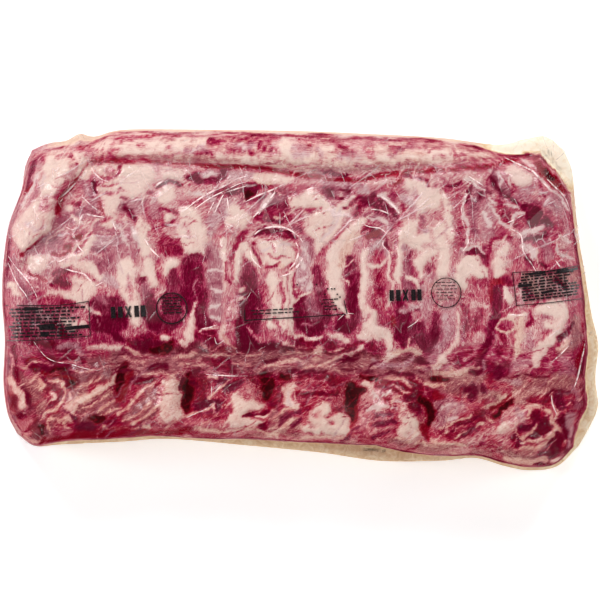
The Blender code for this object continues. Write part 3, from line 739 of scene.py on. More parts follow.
    "lower right middle": """
    blush 54 -68 4, 62 -68 3, 72 -71 3 / 52 -78 4, 62 -78 3
    frost 53 -66 .9, 57 -72 1, 53 -79 1.4 / 57 -71 .9, 66 -67 .9 / 50 -80 1, 60 -77 1.2, 70 -77 .9 /
      64 -74 .8, 74 -73 .9
    fresh 62 -73 1.4, 70 -75 1.4 / 58 -63.6 1, 70 -66 1.2, 82 -69 1.4
    rose 56 -87 6, 64 -86 5, 60 -95 6, 50 -98 4, 58 -102 3
    lean 56 -84 1.4, 66 -82 1.4 / 52 -92 1.4, 62 -88 1.6, 68 -88 1.4 / 52 -99 1.2, 64 -95 1.4
    blush 50 -88 .9, 60 -85.6 1, 68 -84 .9 / 50 -96 .9, 60 -92 .9, 68 -91 .8 / 54 -102 .9, 68 -98 .9
    cream 75 -79 3, 77 -86 5, 82 -90 5, 77 -95 6, 83 -98 5
    blush 76 -83 2.4 / 78 -98 2
    wine 80 -71 3, 88 -70 3.4, 84 -76 3, 87 -82 2
    clot 89 -73 3, 94 -77 4, 94 -86 3, 92 -92 1.4
    blood 98 -68 1.6, 104 -71 1.4 / 89 -92 2.4, 92 -98 2.4
    veil 101 -76 3.4, 108 -74 4, 104 -84 5, 98 -91 3 / 112 -80 4, 117 -76 3
    silver 106 -79 2.4, 112 -77 2.4 / 111 -86 2.4, 106 -86 1.6
    frost 108 -86.4 1.4, 113 -85.6 1.4 / 100 -80 .9, 107 -76 .9
    fresh 112 -92 3, 122 -86 4, 130 -84 3, 128 -92 3, 116 -98 3, 104 -96 2
    sand 102 -92 .9, 111 -90 1, 122 -83 .9 / 106 -96 .9, 116 -92 .9, 126 -86 .8 / 112 -99 .9,
      122 -94 .9, 132 -89 .8
    wine 110 -94.6 .8, 120 -89 1, 129 -84 .9 / 116 -98 .9, 126 -92 1
    umber 66 -104 3, 80 -105 4, 94 -106 4, 108 -108 4
    blush 60 -105 1.6, 76 -108 1.4, 96 -111 1.4, 120 -110 3 / 118 -102 3, 130 -100 4, 139 -95 3
    sand 70 -101 .9, 84 -103 1, 100 -103 .9 / 96 -100 .9, 108 -103 1, 120 -106 1 / 110 -112 1,
      124 -113 1
    fresh 129 -105 1.6, 132 -103 1 / 134 -98 .9 / 138.6 -98 .9
    umber 126 -110 2.4, 138 -112 2.6
    blood 50 -107.6 .8, 62 -109 .9, 72 -111 1, 80 -112.6 1 / 84 -112.6 1, 92 -113.4 1
    """,
    "lower right": """
    rose 140 -60 5, 150 -64 4
    clot 155 -71 1.8, 150 -76 3, 145 -80 2.4, 140 -84 2
    blood 154 -67.6 1, 146 -73 1.2, 138 -78 1.2
    sand 150 -68 .8, 142 -74 .8, 132 -79 .8 / 134 -85 1, 138 -88 1
    umber 158 -74 3.4, 163 -72 3
    fresh 166 -72 2.4, 178 -71 3.6, 184 -70 1.4
    blush 148 -84 3.4, 155 -82 4.4, 160 -84 4, 150 -92 5, 146 -98 5, 148 -105 4
    cream 150 -92 2, 144 -93 1.6
    silver 157 -82 2.6, 161 -86 2
    wine 152 -99 2, 158 -100 4, 161 -105 2.4 / 172 -82 3.6, 172 -89 4.6, 178 -92 4.6, 169 -97 2.4
    purple 160 -93 2.4, 167 -91 2
    sand 156 -95.6 .8, 163 -98.6 1.2, 170.6 -90 1.2 / 164 -77 .9, 171 -74.8 1.2, 178 -78 1.8,
      182 -85 1.8, 188 -95 1.4, 192 -104 1.2 / 165 -84 .9, 169 -79 1.2
    purple 188 -70 3.4, 188 -77 4
    sand 182 -69 .8, 184 -78 .9, 187 -86 .8
    wine 189 -86 3, 192 -93 2.6, 192 -99 1.6
    sand 185 -94 1.6, 178 -100 1.8, 163 -101.6 1.4 / 179 -104 1.4, 168 -107 2, 162 -106 2
    wine 187 -98 2.6, 185 -105 5, 181 -111 4.4, 174 -112 1.8
    umber 146 -110 3, 156 -112 4.6, 167 -111 4
    sand 148 -116 2, 162 -117 2.6, 176 -116 2.4 / 150 -120 1.2, 165 -121 1.4, 180 -121 1.4
    wine 169 -119 .9, 179 -119.6 .9
    silver 195 -84 3, 196 -94 2.6, 197 -106 1.8
    cream 184 -117 2.4, 191 -116 2.6
    wine 178 -68 .9, 186 -66 1.6, 196 -67 1.4
    umber 186 -58 3, 195 -58 3
    clot 202.6 -84 1.8, 202 -94 1.8
    veil 197 -62 1.4, 200 -70 1.8, 200 -78 1.8
    """,
    "groove line": """
    rose -150 100.6 1.2, -118 100.6 1.2, -85 98.6 1.3, -50 96.4 1.7, -18 93.8 1.6, 2 90.6 2.4,
      33 87.4 1.8, 56 89.6 2, 84 92.6 2, 110 94.6 1.6, 142 98 1.4
    blood -152 101 1.6, -140 101 1.1, -118 101 .9, -105 100.5 1, -95 99.3 1, -85 98.8 .9, -75 98 1,
      -60 97 1.4, -50 96.8 1.4, -40 97 1.2, -28 96 1.2, -18 94 1.2, -6 92 1.2, 2 90.5 1.8, 12 89.5 1.4,
      22 87.5 1, 33 87 1, 46 87.5 1, 56 90 1.5, 72 92 1.6, 84 93 1.6, 96 94 1.2, 110 95 1.1, 130 96.8 1,
      142 98.5 1, 152 101 1.3, 160 99 1.6, 166 95 1.2
    """,
}


# Tools for the plan, heights and noise

def smoothRun(stops, spacing=2.0):
    # Catmull-Rom curve through the stops, with all their values carried along
    stops = np.array(stops, float)
    if len(stops) == 1:
        return stops
    knots = np.vstack([2 * stops[0] - stops[1], stops, 2 * stops[-1] - stops[-2]])
    pieces = []
    for a, b, c, d in zip(knots, knots[1:], knots[2:], knots[3:]):
        count = max(2, math.ceil(math.dist(b[:2], c[:2]) / spacing))
        t = np.linspace(0, 1, count, endpoint=False)[:, None]
        bend, twist = 2 * a - 5 * b + 4 * c - d, 3 * b - a - 3 * c + d
        pieces.append(0.5 * (2 * b + (c - a) * t + bend * t**2 + twist * t**3))
    return np.vstack([*pieces, knots[-2:-1]])


def packSides(inset=0.0):
    # The four sides of the outline, drawn in towards the middle
    scale = 1 - inset / np.array(pack["halfSizes"])
    return {name: smoothRun(stops, 1.5) * scale for name, stops in pack["outline"].items()}


def onSide(run, share):
    steps = np.linalg.norm(np.diff(run, axis=0), axis=1)
    along = np.concatenate([[0], np.cumsum(steps)])
    return np.stack([np.interp(share * along[-1], along, run[:, k]) for k in (0, 1)], axis=-1)


def lipWidth(name, places):
    at, widths = np.array(pack["capLip"][name], float).T
    return np.interp(places[:, 0 if name in ("front", "back") else 1], at, widths)


def crowded(share, length, wall, lip):
    # Moves the grid's lines, so that they crowd where the wall rises inside the lip
    foot, count, after = pack["lipLines"], pack["wallLines"], wall + pack["crowdReach"]
    steps = np.arange(count + 1)
    places = wall * (1 - np.cos(0.5 * math.pi * steps / count))
    rise = 1 - np.cos(0.5 * math.pi * np.clip((steps - foot) / (count - foot), 0, 1))
    gain = np.where(steps < foot, steps / foot, 1 - (1 - pack["lipShift"]) * rise)
    at = share * length
    moved = np.interp(at, [*places, after], [*(wall * rise), after])
    moved += np.maximum(lip, 0.5) * np.interp(at, [*places, after], [*gain, 0])
    return np.where(at < after, moved, at) / length


def crowdedPlan(sides, s, t):
    plan = insideOutline(sides, s, t)
    long = np.linalg.norm(onSide(sides["right"], t) - onSide(sides["left"], t), axis=1)
    deep = np.linalg.norm(onSide(sides["back"], s) - onSide(sides["front"], s), axis=1)
    lips = {name: lipWidth(name, plan) for name in sides}
    wall = pack["wall"]
    s = crowded(s, long, wall["left"], lips["left"])
    s = 1 - crowded(1 - s, long, wall["right"], lips["right"])
    t = crowded(t, deep, wall["front"], lips["front"])
    t = 1 - crowded(1 - t, deep, wall["back"], lips["back"])
    return insideOutline(sides, s, t)


def insideOutline(sides, s, t):
    # Coons patch: s runs left to right and t front to back, both 0 to 1
    front, back = onSide(sides["front"], s), onSide(sides["back"], s)
    left, right = onSide(sides["left"], t), onSide(sides["right"], t)
    s, t = s[:, None], t[:, None]
    low = (1 - s) * sides["front"][0] + s * sides["front"][-1]
    high = (1 - s) * sides["back"][0] + s * sides["back"][-1]
    return (1 - t) * front + t * back + (1 - s) * left + s * right - (1 - t) * low - t * high


def gridLines(length, lowWall, highWall, step, wallSteps):
    # Shares of the length: even over the top, and following a quarter round at both ends
    rise = 1 - np.cos(np.linspace(0, math.pi / 2, wallSteps + 1))
    middle = np.arange(lowWall + step, length - highWall - step / 2, step)
    return np.concatenate([lowWall * rise, middle, length - highWall * rise[::-1]]) / length


def distanceTo(run, places):
    run = np.array(run, float)
    nearest = np.full(len(places), np.inf)
    for start, end in zip(run, run[1:]):
        way = end - start
        share = np.clip((places - start) @ way / max(way @ way, 1e-9), 0, 1)
        nearest = np.minimum(nearest, np.hypot(*(places - start - share[:, None] * way).T))
    return nearest


def swell(reach):
    return np.exp(-(reach**2))


def eased(share):
    share = np.clip(share, 0, 1)
    return share * share * (3 - 2 * share)


def ovalReach(places, centre, halfSizes, turn):
    angle = math.radians(turn)
    x, y = (places - np.array(centre, float)).T
    return np.hypot(
        (x * math.cos(angle) + y * math.sin(angle)) / halfSizes[0],
        (y * math.cos(angle) - x * math.sin(angle)) / halfSizes[1],
    )


def fullHeight(places):
    # Height of the top well inside the outline
    fall = pack["tailHeight"] - pack["chineHeight"]
    height = pack["chineHeight"] + fall * eased(0.5 + places[:, 1] / pack["fallDepth"])
    for route, halfWidth, depth in pack["trenches"]:
        height -= depth * swell(distanceTo(route, places) / halfWidth)
    for route, halfWidth, lift in pack["rolls"]:
        height += lift * swell(distanceTo(route, places) / halfWidth)
    for x in pack["ribX"]:
        route = ((x, pack["ribRouteY"][0]), (x + pack["ribLean"], pack["ribRouteY"][1]))
        height += pack["ribLift"] * swell(distanceTo(route, places) / pack["ribHalfWidth"])
    for x in pack["blocksX"]:
        height += pack["blockLift"] * swell(ovalReach(places, (x, pack["blockY"]), pack["blockHalfSizes"], 0))
    for centre, halfSizes, turn in pack["pits"]:
        height -= pack["pitDepth"] * swell(ovalReach(places, centre, halfSizes, turn))
    return height


def wallShare(sides, places):
    # 0 on the outline and the cap's lip, to 1 where the top has its full height
    share = np.ones(len(places))
    for name, wall in pack["wall"].items():
        lip = lipWidth(name, places)
        depth = wall - (1 - pack["lipShift"]) * lip
        reach = np.clip((distanceTo(sides[name][::3], places) - lip) / depth, 0, 1)
        share = np.minimum(share, 1 - (1 - reach) ** pack["wallFullness"])
    return share


def lipHeight(sides, places):
    # The rounded edge of the cap, from the widest line up
    reach = min(pack["wall"].values())
    for name in pack["wall"]:
        reach = np.minimum(reach, distanceTo(sides[name][::3], places))
    reach = np.clip(reach / pack["lipReach"], 0, 1)
    return pack["rimHeight"] + pack["lipRise"] * np.sqrt(1 - (1 - reach) ** 2)


# Grain of the meat, along the pack, aslant, and across it
grain = {
    "turns": (2, 34, 84),  # degrees
    "pulls": (2.0, 1.6, 1.6),  # mm that it draws out the edges of a tissue
    "pullSize": 12,  # mm along the grain, and how much narrower across it
    "narrow": 2.4,
    "wanderSizes": ((1.5, 9, 3), (0.4, 3.2, 2)),  # mm, size and octaves of the noise that edges follow
    "grooveCalm": (0.75, 7),  # share of it that the tail groove takes away, and half width there
    "streakStrength": 0.75,
    # thin streaks: count, range of x and of y, direction and spread, lengths, half widths, tones
    "streaks": (
        (170, (-206, 206), (-114, -56), (38, 22), (8, 28), (0.3, 0.9), "cream blush sand fresh lean silver"),
        (70, (-204, 204), (-57, -34), (2, 10), (12, 36), (0.3, 0.8), "sand umber wine blush rose"),
        (110, (-206, 206), (-34, 40), (84, 30), (5, 18), (0.25, 0.7), "cream rose fresh blush silver"),
        (170, (-202, 198), (40, 98), (35, 45), (5, 20), (0.3, 0.8), "cream rose fresh blush silver cream"),
        (130, (-180, 180), (99, 120), (0, 7), (14, 50), (0.3, 0.8), "cream rose sand umber blush"),
    ),
}

noiseTables = {}


def noise(x, y, size, seed):
    # Smooth value noise, -1 to 1
    if seed not in noiseTables:
        noiseTables[seed] = np.random.default_rng(seed).random((256, 256)) * 2 - 1
    table = noiseTables[seed]
    u, v = x / size + 317.37, y / size + 311.91
    i, j = np.floor(u).astype(int), np.floor(v).astype(int)
    a, b = eased(u - i), eased(v - j)
    i, j, iNext, jNext = i % 256, j % 256, (i + 1) % 256, (j + 1) % 256
    low = table[i, j] * (1 - a) + table[iNext, j] * a
    high = table[i, jNext] * (1 - a) + table[iNext, jNext] * a
    return low * (1 - b) + high * b


def roughness(x, y, size, seed, octaves=3):
    total, share = 0, 1
    for k in range(octaves):
        total = total + share * noise(x, y, size / 2**k, seed + k)
        share *= 0.55
    return total


def strokeGap(x, y, run):
    # Distance to a run of round dabs, less their half widths
    if len(run) == 1:
        return np.hypot(x - run[0, 0], y - run[0, 1]) - run[0, 2]
    gap = np.full(x.shape, np.inf)
    for (ax, ay, aWide), (bx, by, bWide) in zip(run, run[1:]):
        dx, dy = bx - ax, by - ay
        t = np.clip(((x - ax) * dx + (y - ay) * dy) / (dx * dx + dy * dy + 1e-9), 0, 1)
        gap = np.minimum(gap, np.hypot(x - ax - t * dx, y - ay - t * dy) - aWide - t * (bWide - aWide))
    return gap


def grainWays(x, y):
    # Shares of grain along the pack, aslant, and across it
    along = eased((y - 92) / 8) + eased(1 - np.abs(y + 45) / 12)
    aslant = eased((-50 - y) / 10) + eased((y - 38) / 8) * eased((92 - y) / 8)
    across = eased((y + 38) / 8) * eased((46 - y) / 8)
    ways = np.stack([along, aslant, across], axis=1) + 0.05
    return ways / ways.sum(axis=1)[:, None]


def strokesOf(text):
    # Tone and numbers of each stroke in the text
    tone, dabs = None, []
    for word in text.replace(",", " ").split():
        if word[0].isalpha() or word == "/":
            if dabs:
                yield tone, dabs
            tone, dabs = tone if word == "/" else word, []
        else:
            dabs.append(float(word))
    yield tone, dabs


def heading(degrees):
    return np.array([math.cos(math.radians(degrees)), math.sin(math.radians(degrees))])


def thinStreaks():
    # Fine seams and threads that run with the grain: tone and run of each
    chance = np.random.default_rng(17)
    for count, acrossX, acrossY, (degrees, spread), lengths, widths, names in grain["streaks"]:
        names = names.split()
        for _ in range(count):
            way = heading(chance.normal(degrees, spread))
            place = np.array([chance.uniform(*acrossX), chance.uniform(*acrossY)])
            length, bend = chance.uniform(*lengths), chance.normal(0, 0.35)
            width = chance.uniform(*widths)
            run = []
            for share in (-0.5, -0.17, 0.17, 0.5):
                side = length * bend * (0.25 - share * share)
                x, y = place + way * length * share + np.array([-way[1], way[0]]) * side
                run += [x, y, width * (1 - 1.4 * abs(share))]
            yield names[chance.integers(len(names))], run


def paintTissue(x, y, base):
    # Lays every dab of tissue over the base values, in order; edges wander with noise, and are
    # drawn out along the grain
    (most, size, octaves), (least, smallSize, smallOctaves) = grain["wanderSizes"]
    wx = most * roughness(x, y, size, 11, octaves) + least * roughness(x, y, smallSize, 21, smallOctaves)
    wy = most * roughness(x, y, size, 31, octaves) + least * roughness(x, y, smallSize, 41, smallOctaves)
    for share, degrees, pull, seed in zip(grainWays(x, y).T, grain["turns"], grain["pulls"], (181, 191, 201)):
        dx, dy = heading(degrees)
        across = grain["narrow"] * (y * dx - x * dy)
        drawn = pull * share * noise(x * dx + y * dy, across, grain["pullSize"], seed)
        wx, wy = wx + drawn * dx, wy + drawn * dy
    calm, calmReach = grain["grooveCalm"]
    wander = 1 - calm * swell(distanceTo(pack["trenches"][0][0], np.column_stack([x, y])) / calmReach)
    wx, wy = x + wander * wx, y + wander * wy
    ragged = roughness(x, y, 3, 51)
    values = base.copy()

    def lay(tone, stroke, strength=1.0):
        *look, soft, rag = tones[tone]
        look = np.array(look, float)
        run = smoothRun(np.array(stroke, float).reshape(-1, 3))
        spread = 1.4 * run[:, 2].max() + soft + rag + 3
        near = (wx > run[:, 0].min() - spread) & (wx < run[:, 0].max() + spread)
        near &= (wy > run[:, 1].min() - spread) & (wy < run[:, 1].max() + spread)
        near = np.nonzero(near)[0]
        if len(near) == 0:
            return
        thin = min(1, run[:, 2].mean() / 2.2)
        gap = strokeGap(wx[near], wy[near], run) + 0.4 * rag * thin * ragged[near]
        fade = 1.25 * soft * (0.35 + 0.65 * thin) + 0.35 * min(run[:, 2].mean(), 12)
        values[near] += (look - values[near]) * (strength * eased(0.5 - gap / fade))[:, None]

    for text in tissue.values():
        for tone, stroke in strokesOf(text):
            lay(tone, stroke)
    for tone, stroke in thinStreaks():
        lay(tone, stroke, grain["streakStrength"])
    return values


# Tools for meshes

def deselectAll():
    for obj in bpy.context.scene.objects:
        obj.select_set(False)


def makeActive(obj):
    deselectAll()
    obj.select_set(True)
    bpy.context.view_layer.objects.active = obj


def readPlaces(data):
    flat = np.empty(len(data.vertices) * 3)
    data.vertices.foreach_get("co", flat)
    return flat.reshape(-1, 3)


def writePlaces(data, places):
    data.vertices.foreach_set("co", places.ravel())
    data.update()


def picked(data):
    flags = np.empty(len(data.vertices), bool)
    data.vertices.foreach_get("select", flags)
    return np.nonzero(flags)[0]


def gridPiece(name, lines, shape):
    # A square grid, spread over the outline by shape(s, t)
    columns, rows = len(lines[0]) - 1, len(lines[1]) - 1
    deselectAll()
    bpy.ops.mesh.primitive_grid_add(x_subdivisions=columns, y_subdivisions=rows, size=2)
    obj = bpy.context.object
    obj.name = obj.data.name = name
    unit = readPlaces(obj.data)
    column = np.rint((unit[:, 0] + 1) / 2 * columns).astype(int)
    row = np.rint((unit[:, 1] + 1) / 2 * rows).astype(int)
    order = row * (columns + 1) + column
    s, t = np.meshgrid(lines[0], lines[1])
    places = shape(s.ravel(), t.ravel())
    writePlaces(obj.data, places[order])
    rim = np.concatenate(
        [
            np.arange(columns),
            columns + np.arange(rows) * (columns + 1),
            (rows + 1) * (columns + 1) - 1 - np.arange(columns),
            rows * (columns + 1) - np.arange(rows) * (columns + 1),
        ]
    )
    return obj, places[rim]


def addHem(obj, rim, floor, inset):
    # Extrudes the rim down in rings that follow a quarter round, and closes the underside
    along = np.roll(rim, -4, axis=0) - np.roll(rim, 4, axis=0)
    ways = np.stack([-along[:, 1], along[:, 0]], axis=1)
    ways /= np.linalg.norm(ways, axis=1)[:, None]
    makeActive(obj)
    bpy.ops.object.mode_set(mode="EDIT")
    bpy.ops.mesh.select_mode(type="EDGE")
    bpy.ops.mesh.select_all(action="DESELECT")
    bpy.ops.mesh.select_non_manifold()
    ring = rim
    for k in range(1, pack["hemRings"] + 1):
        angle = 0.5 * math.pi * k / pack["hemRings"]
        bpy.ops.mesh.extrude_edges_move()
        bpy.ops.object.mode_set(mode="OBJECT")
        places, lower = readPlaces(obj.data), picked(obj.data)
        at = {tuple(place): n for n, place in enumerate(ring[:, :2].astype(np.float32).tolist())}
        index = np.array([at[tuple(place)] for place in places[lower, :2].tolist()])
        ring = rim.copy()
        ring[:, :2] += ways * inset * (1 - math.cos(angle))
        ring[:, 2] = floor + (rim[:, 2] - floor) * (1 - math.sin(angle))
        places[lower] = ring[index]
        writePlaces(obj.data, places)
        bpy.ops.object.mode_set(mode="EDIT")
    bpy.ops.mesh.edge_face_add()
    bpy.ops.mesh.select_all(action="SELECT")
    bpy.ops.mesh.normals_make_consistent(inside=False)
    bpy.ops.object.mode_set(mode="OBJECT")


def finishPiece(obj, material, smoothAngle=60):
    # Metres, smooth shading, material, body and slot
    writePlaces(obj.data, readPlaces(obj.data) * mm)
    makeActive(obj)
    bpy.ops.object.shade_smooth_by_angle(angle=math.radians(smoothAngle))
    obj.data.materials.clear()
    obj.data.materials.append(material)
    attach(obj, "root")


def softened(values, shape, passes, reach=1):
    # Averages a field over its grid neighbours, again and again
    field = values.reshape(shape)
    for _ in range(passes):
        for axis in (0, 1):
            sizes = [(reach, reach) if k == axis else (0, 0) for k in (0, 1)]
            padded = np.pad(field, sizes, mode="edge")
            taken = [np.take(padded, np.arange(shape[axis]) + k, axis=axis) for k in range(2 * reach + 1)]
            field = sum(taken) / (2 * reach + 1)
    return field.ravel()


def paintPoints(data, name, columns):
    attribute = data.color_attributes.new(name, "FLOAT_COLOR", "POINT")
    values = np.ones((len(data.vertices), 4))
    values[:, : columns.shape[1]] = columns
    attribute.data.foreach_set("color", values.ravel())


# Tools for materials

def crinkleCells(tree, coords, scale, turn, stretch):
    # Long shards between straight folds: nearness to a fold, a chance value for
    # each shard, and the way out from its middle
    turned = addNode(tree, "Mapping", {"Vector": coords, "Rotation": (0, 0, math.radians(-turn))})
    drawn = addNode(tree, "Mapping", {"Vector": turned.outputs[0], "Scale": (1 / stretch, 1, 1)}).outputs[0]
    sway = addNode(tree, "TexNoise", {"Vector": drawn, "Scale": scale, "Detail": 1}).outputs["Color"]
    swayed = addNode(tree, "Mix", data_type="VECTOR")
    for index, value in ((0, film["sway"]), (4, drawn), (5, sway)):
        setSocket(tree, swayed.inputs[index], value)
    values = {"Vector": swayed.outputs[1], "Scale": scale}
    flat = {"voronoi_dimensions": "2D"}
    edge = addNode(tree, "TexVoronoi", values, feature="DISTANCE_TO_EDGE", **flat).outputs["Distance"]
    cell = addNode(tree, "TexVoronoi", values, feature="F1", **flat).outputs
    return edge, splitColor(tree, cell["Color"])[0], cell["Distance"]


def srgb(red, green, blue):
    channels = [c / 255 for c in (red, green, blue)]
    return (*[c / 12.92 if c <= 0.04045 else ((c + 0.055) / 1.055) ** 2.4 for c in channels], 1)


def newMaterial(name):
    material = bpy.data.materials.new(name)
    material.use_nodes = True
    material.node_tree.nodes.clear()
    return material, material.node_tree


def setSocket(tree, socket, value):
    if isinstance(value, bpy.types.NodeSocket):
        tree.links.new(value, socket)
    else:
        socket.default_value = value


def addNode(tree, kind, values=None, **settings):
    node = tree.nodes.new("ShaderNode" + kind)
    for name, value in settings.items():
        setattr(node, name, value)
    for name, value in (values or {}).items():
        setSocket(tree, node.inputs[name], value)
    return node


def calc(tree, operation, a, b=0.0, c=0.0, clamp=False):
    node = addNode(tree, "Math", operation=operation, use_clamp=clamp)
    for socket, value in zip(node.inputs, (a, b, c)):
        setSocket(tree, socket, value)
    return node.outputs[0]


def splitColor(tree, color):
    return addNode(tree, "SeparateColor", {0: color}).outputs


def readAttribute(tree, name, output="Color"):
    return addNode(tree, "Attribute", attribute_name=name).outputs[output]


def varied(tree, base, noise, amount, clamp=False):
    # Adds a noise round its middle
    return calc(tree, "MULTIPLY_ADD", calc(tree, "SUBTRACT", noise, 0.5), amount, base, clamp)


def blend(tree, share, a, b):
    return calc(tree, "MULTIPLY_ADD", calc(tree, "SUBTRACT", b, a), share, a)


def blendColors(tree, share, a, b, mode="MIX"):
    node = addNode(tree, "Mix", data_type="RGBA", blend_type=mode)
    for index, value in ((0, share), (6, a), (7, b)):
        setSocket(tree, node.inputs[index], value)
    return node.outputs[2]


def remap(tree, value, low, high, newLow=0.0, newHigh=1.0):
    names = ("Value", "From Min", "From Max", "To Min", "To Max")
    node = addNode(tree, "MapRange", dict(zip(names, (value, low, high, newLow, newHigh))))
    node.interpolation_type = "SMOOTHSTEP"
    return node.outputs[0]


def ramp(tree, value, stops):
    node = addNode(tree, "ValToRGB", {"Fac": value})
    elements = node.color_ramp.elements
    while len(elements) < len(stops):
        elements.new(0.5)
    for element, (place, color) in zip(elements, stops):
        element.position = place
        element.color = srgb(*color)
    return node.outputs[0]


def grainNoise(tree, coords, scale, detail=3.0, turn=0.0, stretch=(1, 1, 1), distortion=0.0):
    # Noise whose features are drawn out by stretch, after a turn about Z in degrees
    turned = addNode(tree, "Mapping", {"Vector": coords, "Rotation": (0, 0, math.radians(-turn))})
    drawn = addNode(tree, "Mapping", {"Vector": turned.outputs[0], "Scale": tuple(1 / k for k in stretch)})
    values = {"Vector": drawn.outputs[0], "Scale": scale, "Detail": detail, "Distortion": distortion}
    return addNode(tree, "TexNoise", values).outputs[0]


# The beef, in its layers of lean, fat and membrane

beef = {
    "gridStep": 1.16,
    "underFilm": 0.8,  # how far its sides lie inside the film's
    "floor": 0.4,
    "reliefSize": 7.0,
    "relief": 0.45,
    "capTop": 24.0,  # the fat cap shows at the sides up to about here
    # where the tissue has more fat or less than its strokes say: centre, half sizes, turn, share
    "fatter": (
        ((158, -32), (34, 46), 0, 0.2),
        ((75, -40), (55, 9), 0, 0.13),
        ((-120, -82), (75, 10), 6, -0.11),
        ((128, 8), (14, 20), 0, 0.05),
    ),
    # along Y: fat and brown of the untouched ground, and fat that is taken off everything
    "groundFat": (
        (-110, 0.36), (-60, 0.34), (-48, 0.24), (-38, 0.24), (-20, 0.3), (30, 0.4), (90, 0.5),
        (104, 0.68), (120, 0.66),
    ),
    "groundBrown": ((-110, 0.3), (-58, 0.3), (-46, 0.7), (-36, 0.4), (-20, 0)),
    "darker": ((-70, 0.12), (-54, 0.19), (-34, 0.19), (-10, 0.02), (10, 0)),
    # how much the fine patterns move the fat share
    "fibres": 0.32,
    "mottle": 0.18,
    "speck": 0.14,
    "veins": ((140, 0.22), (190, -0.22)),  # scale and gain
    "bumpDepth": 0.0014,  # metres
    # colours from lean to fat
    "flesh": (
        (0.0, (92, 0, 30)),
        (0.14, (118, 3, 45)),
        (0.27, (146, 22, 66)),
        (0.38, (164, 46, 82)),
        (0.48, (176, 78, 98)),
        (0.6, (189, 112, 121)),
        (0.73, (202, 145, 146)),
        (0.86, (215, 173, 168)),
        (1.0, (228, 200, 191)),
    ),
    "redFlesh": ((0.0, (120, 0, 20)), (0.3, (166, 16, 46)), (0.55, (203, 88, 106)), (1.0, (228, 200, 190))),
    "veil": ((0.0, (120, 50, 72)), (0.5, (178, 124, 132)), (1.0, (214, 188, 187))),
    "brown": ((0.0, (98, 36, 42)), (0.5, (160, 96, 94)), (1.0, (220, 180, 160))),
    "straw": ((0.3, (212, 170, 132)), (0.5, (226, 192, 152)), (0.7, (240, 216, 184)), (1.0, (252, 240, 220))),
    "clot": ((0.35, (40, 3, 6)), (0.55, (70, 3, 11)), (0.7, (112, 4, 22))),
}


def valueAlong(stops, values):
    return np.interp(values, *np.array(stops, float).T)


def baseTissue(x, y):
    # The look before any dab of tissue: bands along the pack, mottled
    mottle = 0.28 * roughness(x, y, 12, 61) + 0.2 * roughness(x, y, 4.5, 71)
    values = np.zeros((len(x), 7))
    values[:, 0] = valueAlong(beef["groundFat"], y) + mottle
    values[:, 1] = np.clip(0.08 + 0.2 * eased((-48 - y) / 10) + 0.3 * roughness(x, y, 13, 81), 0, 0.7)
    values[:, 4] = 0.4 + 0.3 * roughness(x, y, 16, 91) + 0.2 * eased((-50 - y) / 10)
    values[:, 5] = valueAlong(beef["groundBrown"], y)
    values[:, 6] = 0.5 * mottle
    return values


def sideTissue(x, y, z):
    # Seen from the side: the fat cap below, then lean with seams of fat
    layer = roughness(x + 0.4 * z, 2.6 * z - 0.3 * y, 16, 101) + 0.5 * roughness(x - y, 2 * z, 6, 111)
    values = np.zeros((len(x), 7))
    values[:, 0] = np.clip(0.36 + 0.34 * layer + 0.17 * eased((y - 102) / 12), 0, 1)
    values[:, 1] = np.clip(0.1 + 0.4 * roughness(x, y + z, 12, 121), 0, 0.6)
    values[:, 4] = 0.5
    values[:, 5] = 0.2
    cap = eased(0.5 - (z - beef["capTop"] - 2 * roughness(x + y, z, 14, 131)) / 3)[:, None]
    capLook = np.tile((0.92, 0, 0, 0.9, 0.4, 0, 0.3), (len(x), 1))
    capLook[:, 3] -= 0.5 * eased((y + 60) / 160)
    left = eased((-175 - x) / 20)
    capLook[:, 3] += 1.1 * eased((x - 125) / 20) * eased((y - 75) / 20) + 0.25 * eased((x - 185) / 15)
    capLook[:, 3] -= 0.75 * left
    capLook[:, 1] += 0.35 * left
    capLook[:, 0] -= 0.3 * left
    capLook[:, 0] -= 0.2 * eased((pack["rimHeight"] + 3 - z) / 6) - 0.12 * roughness(x, y, 18, 221, 2)
    return values * (1 - cap) + capLook * cap


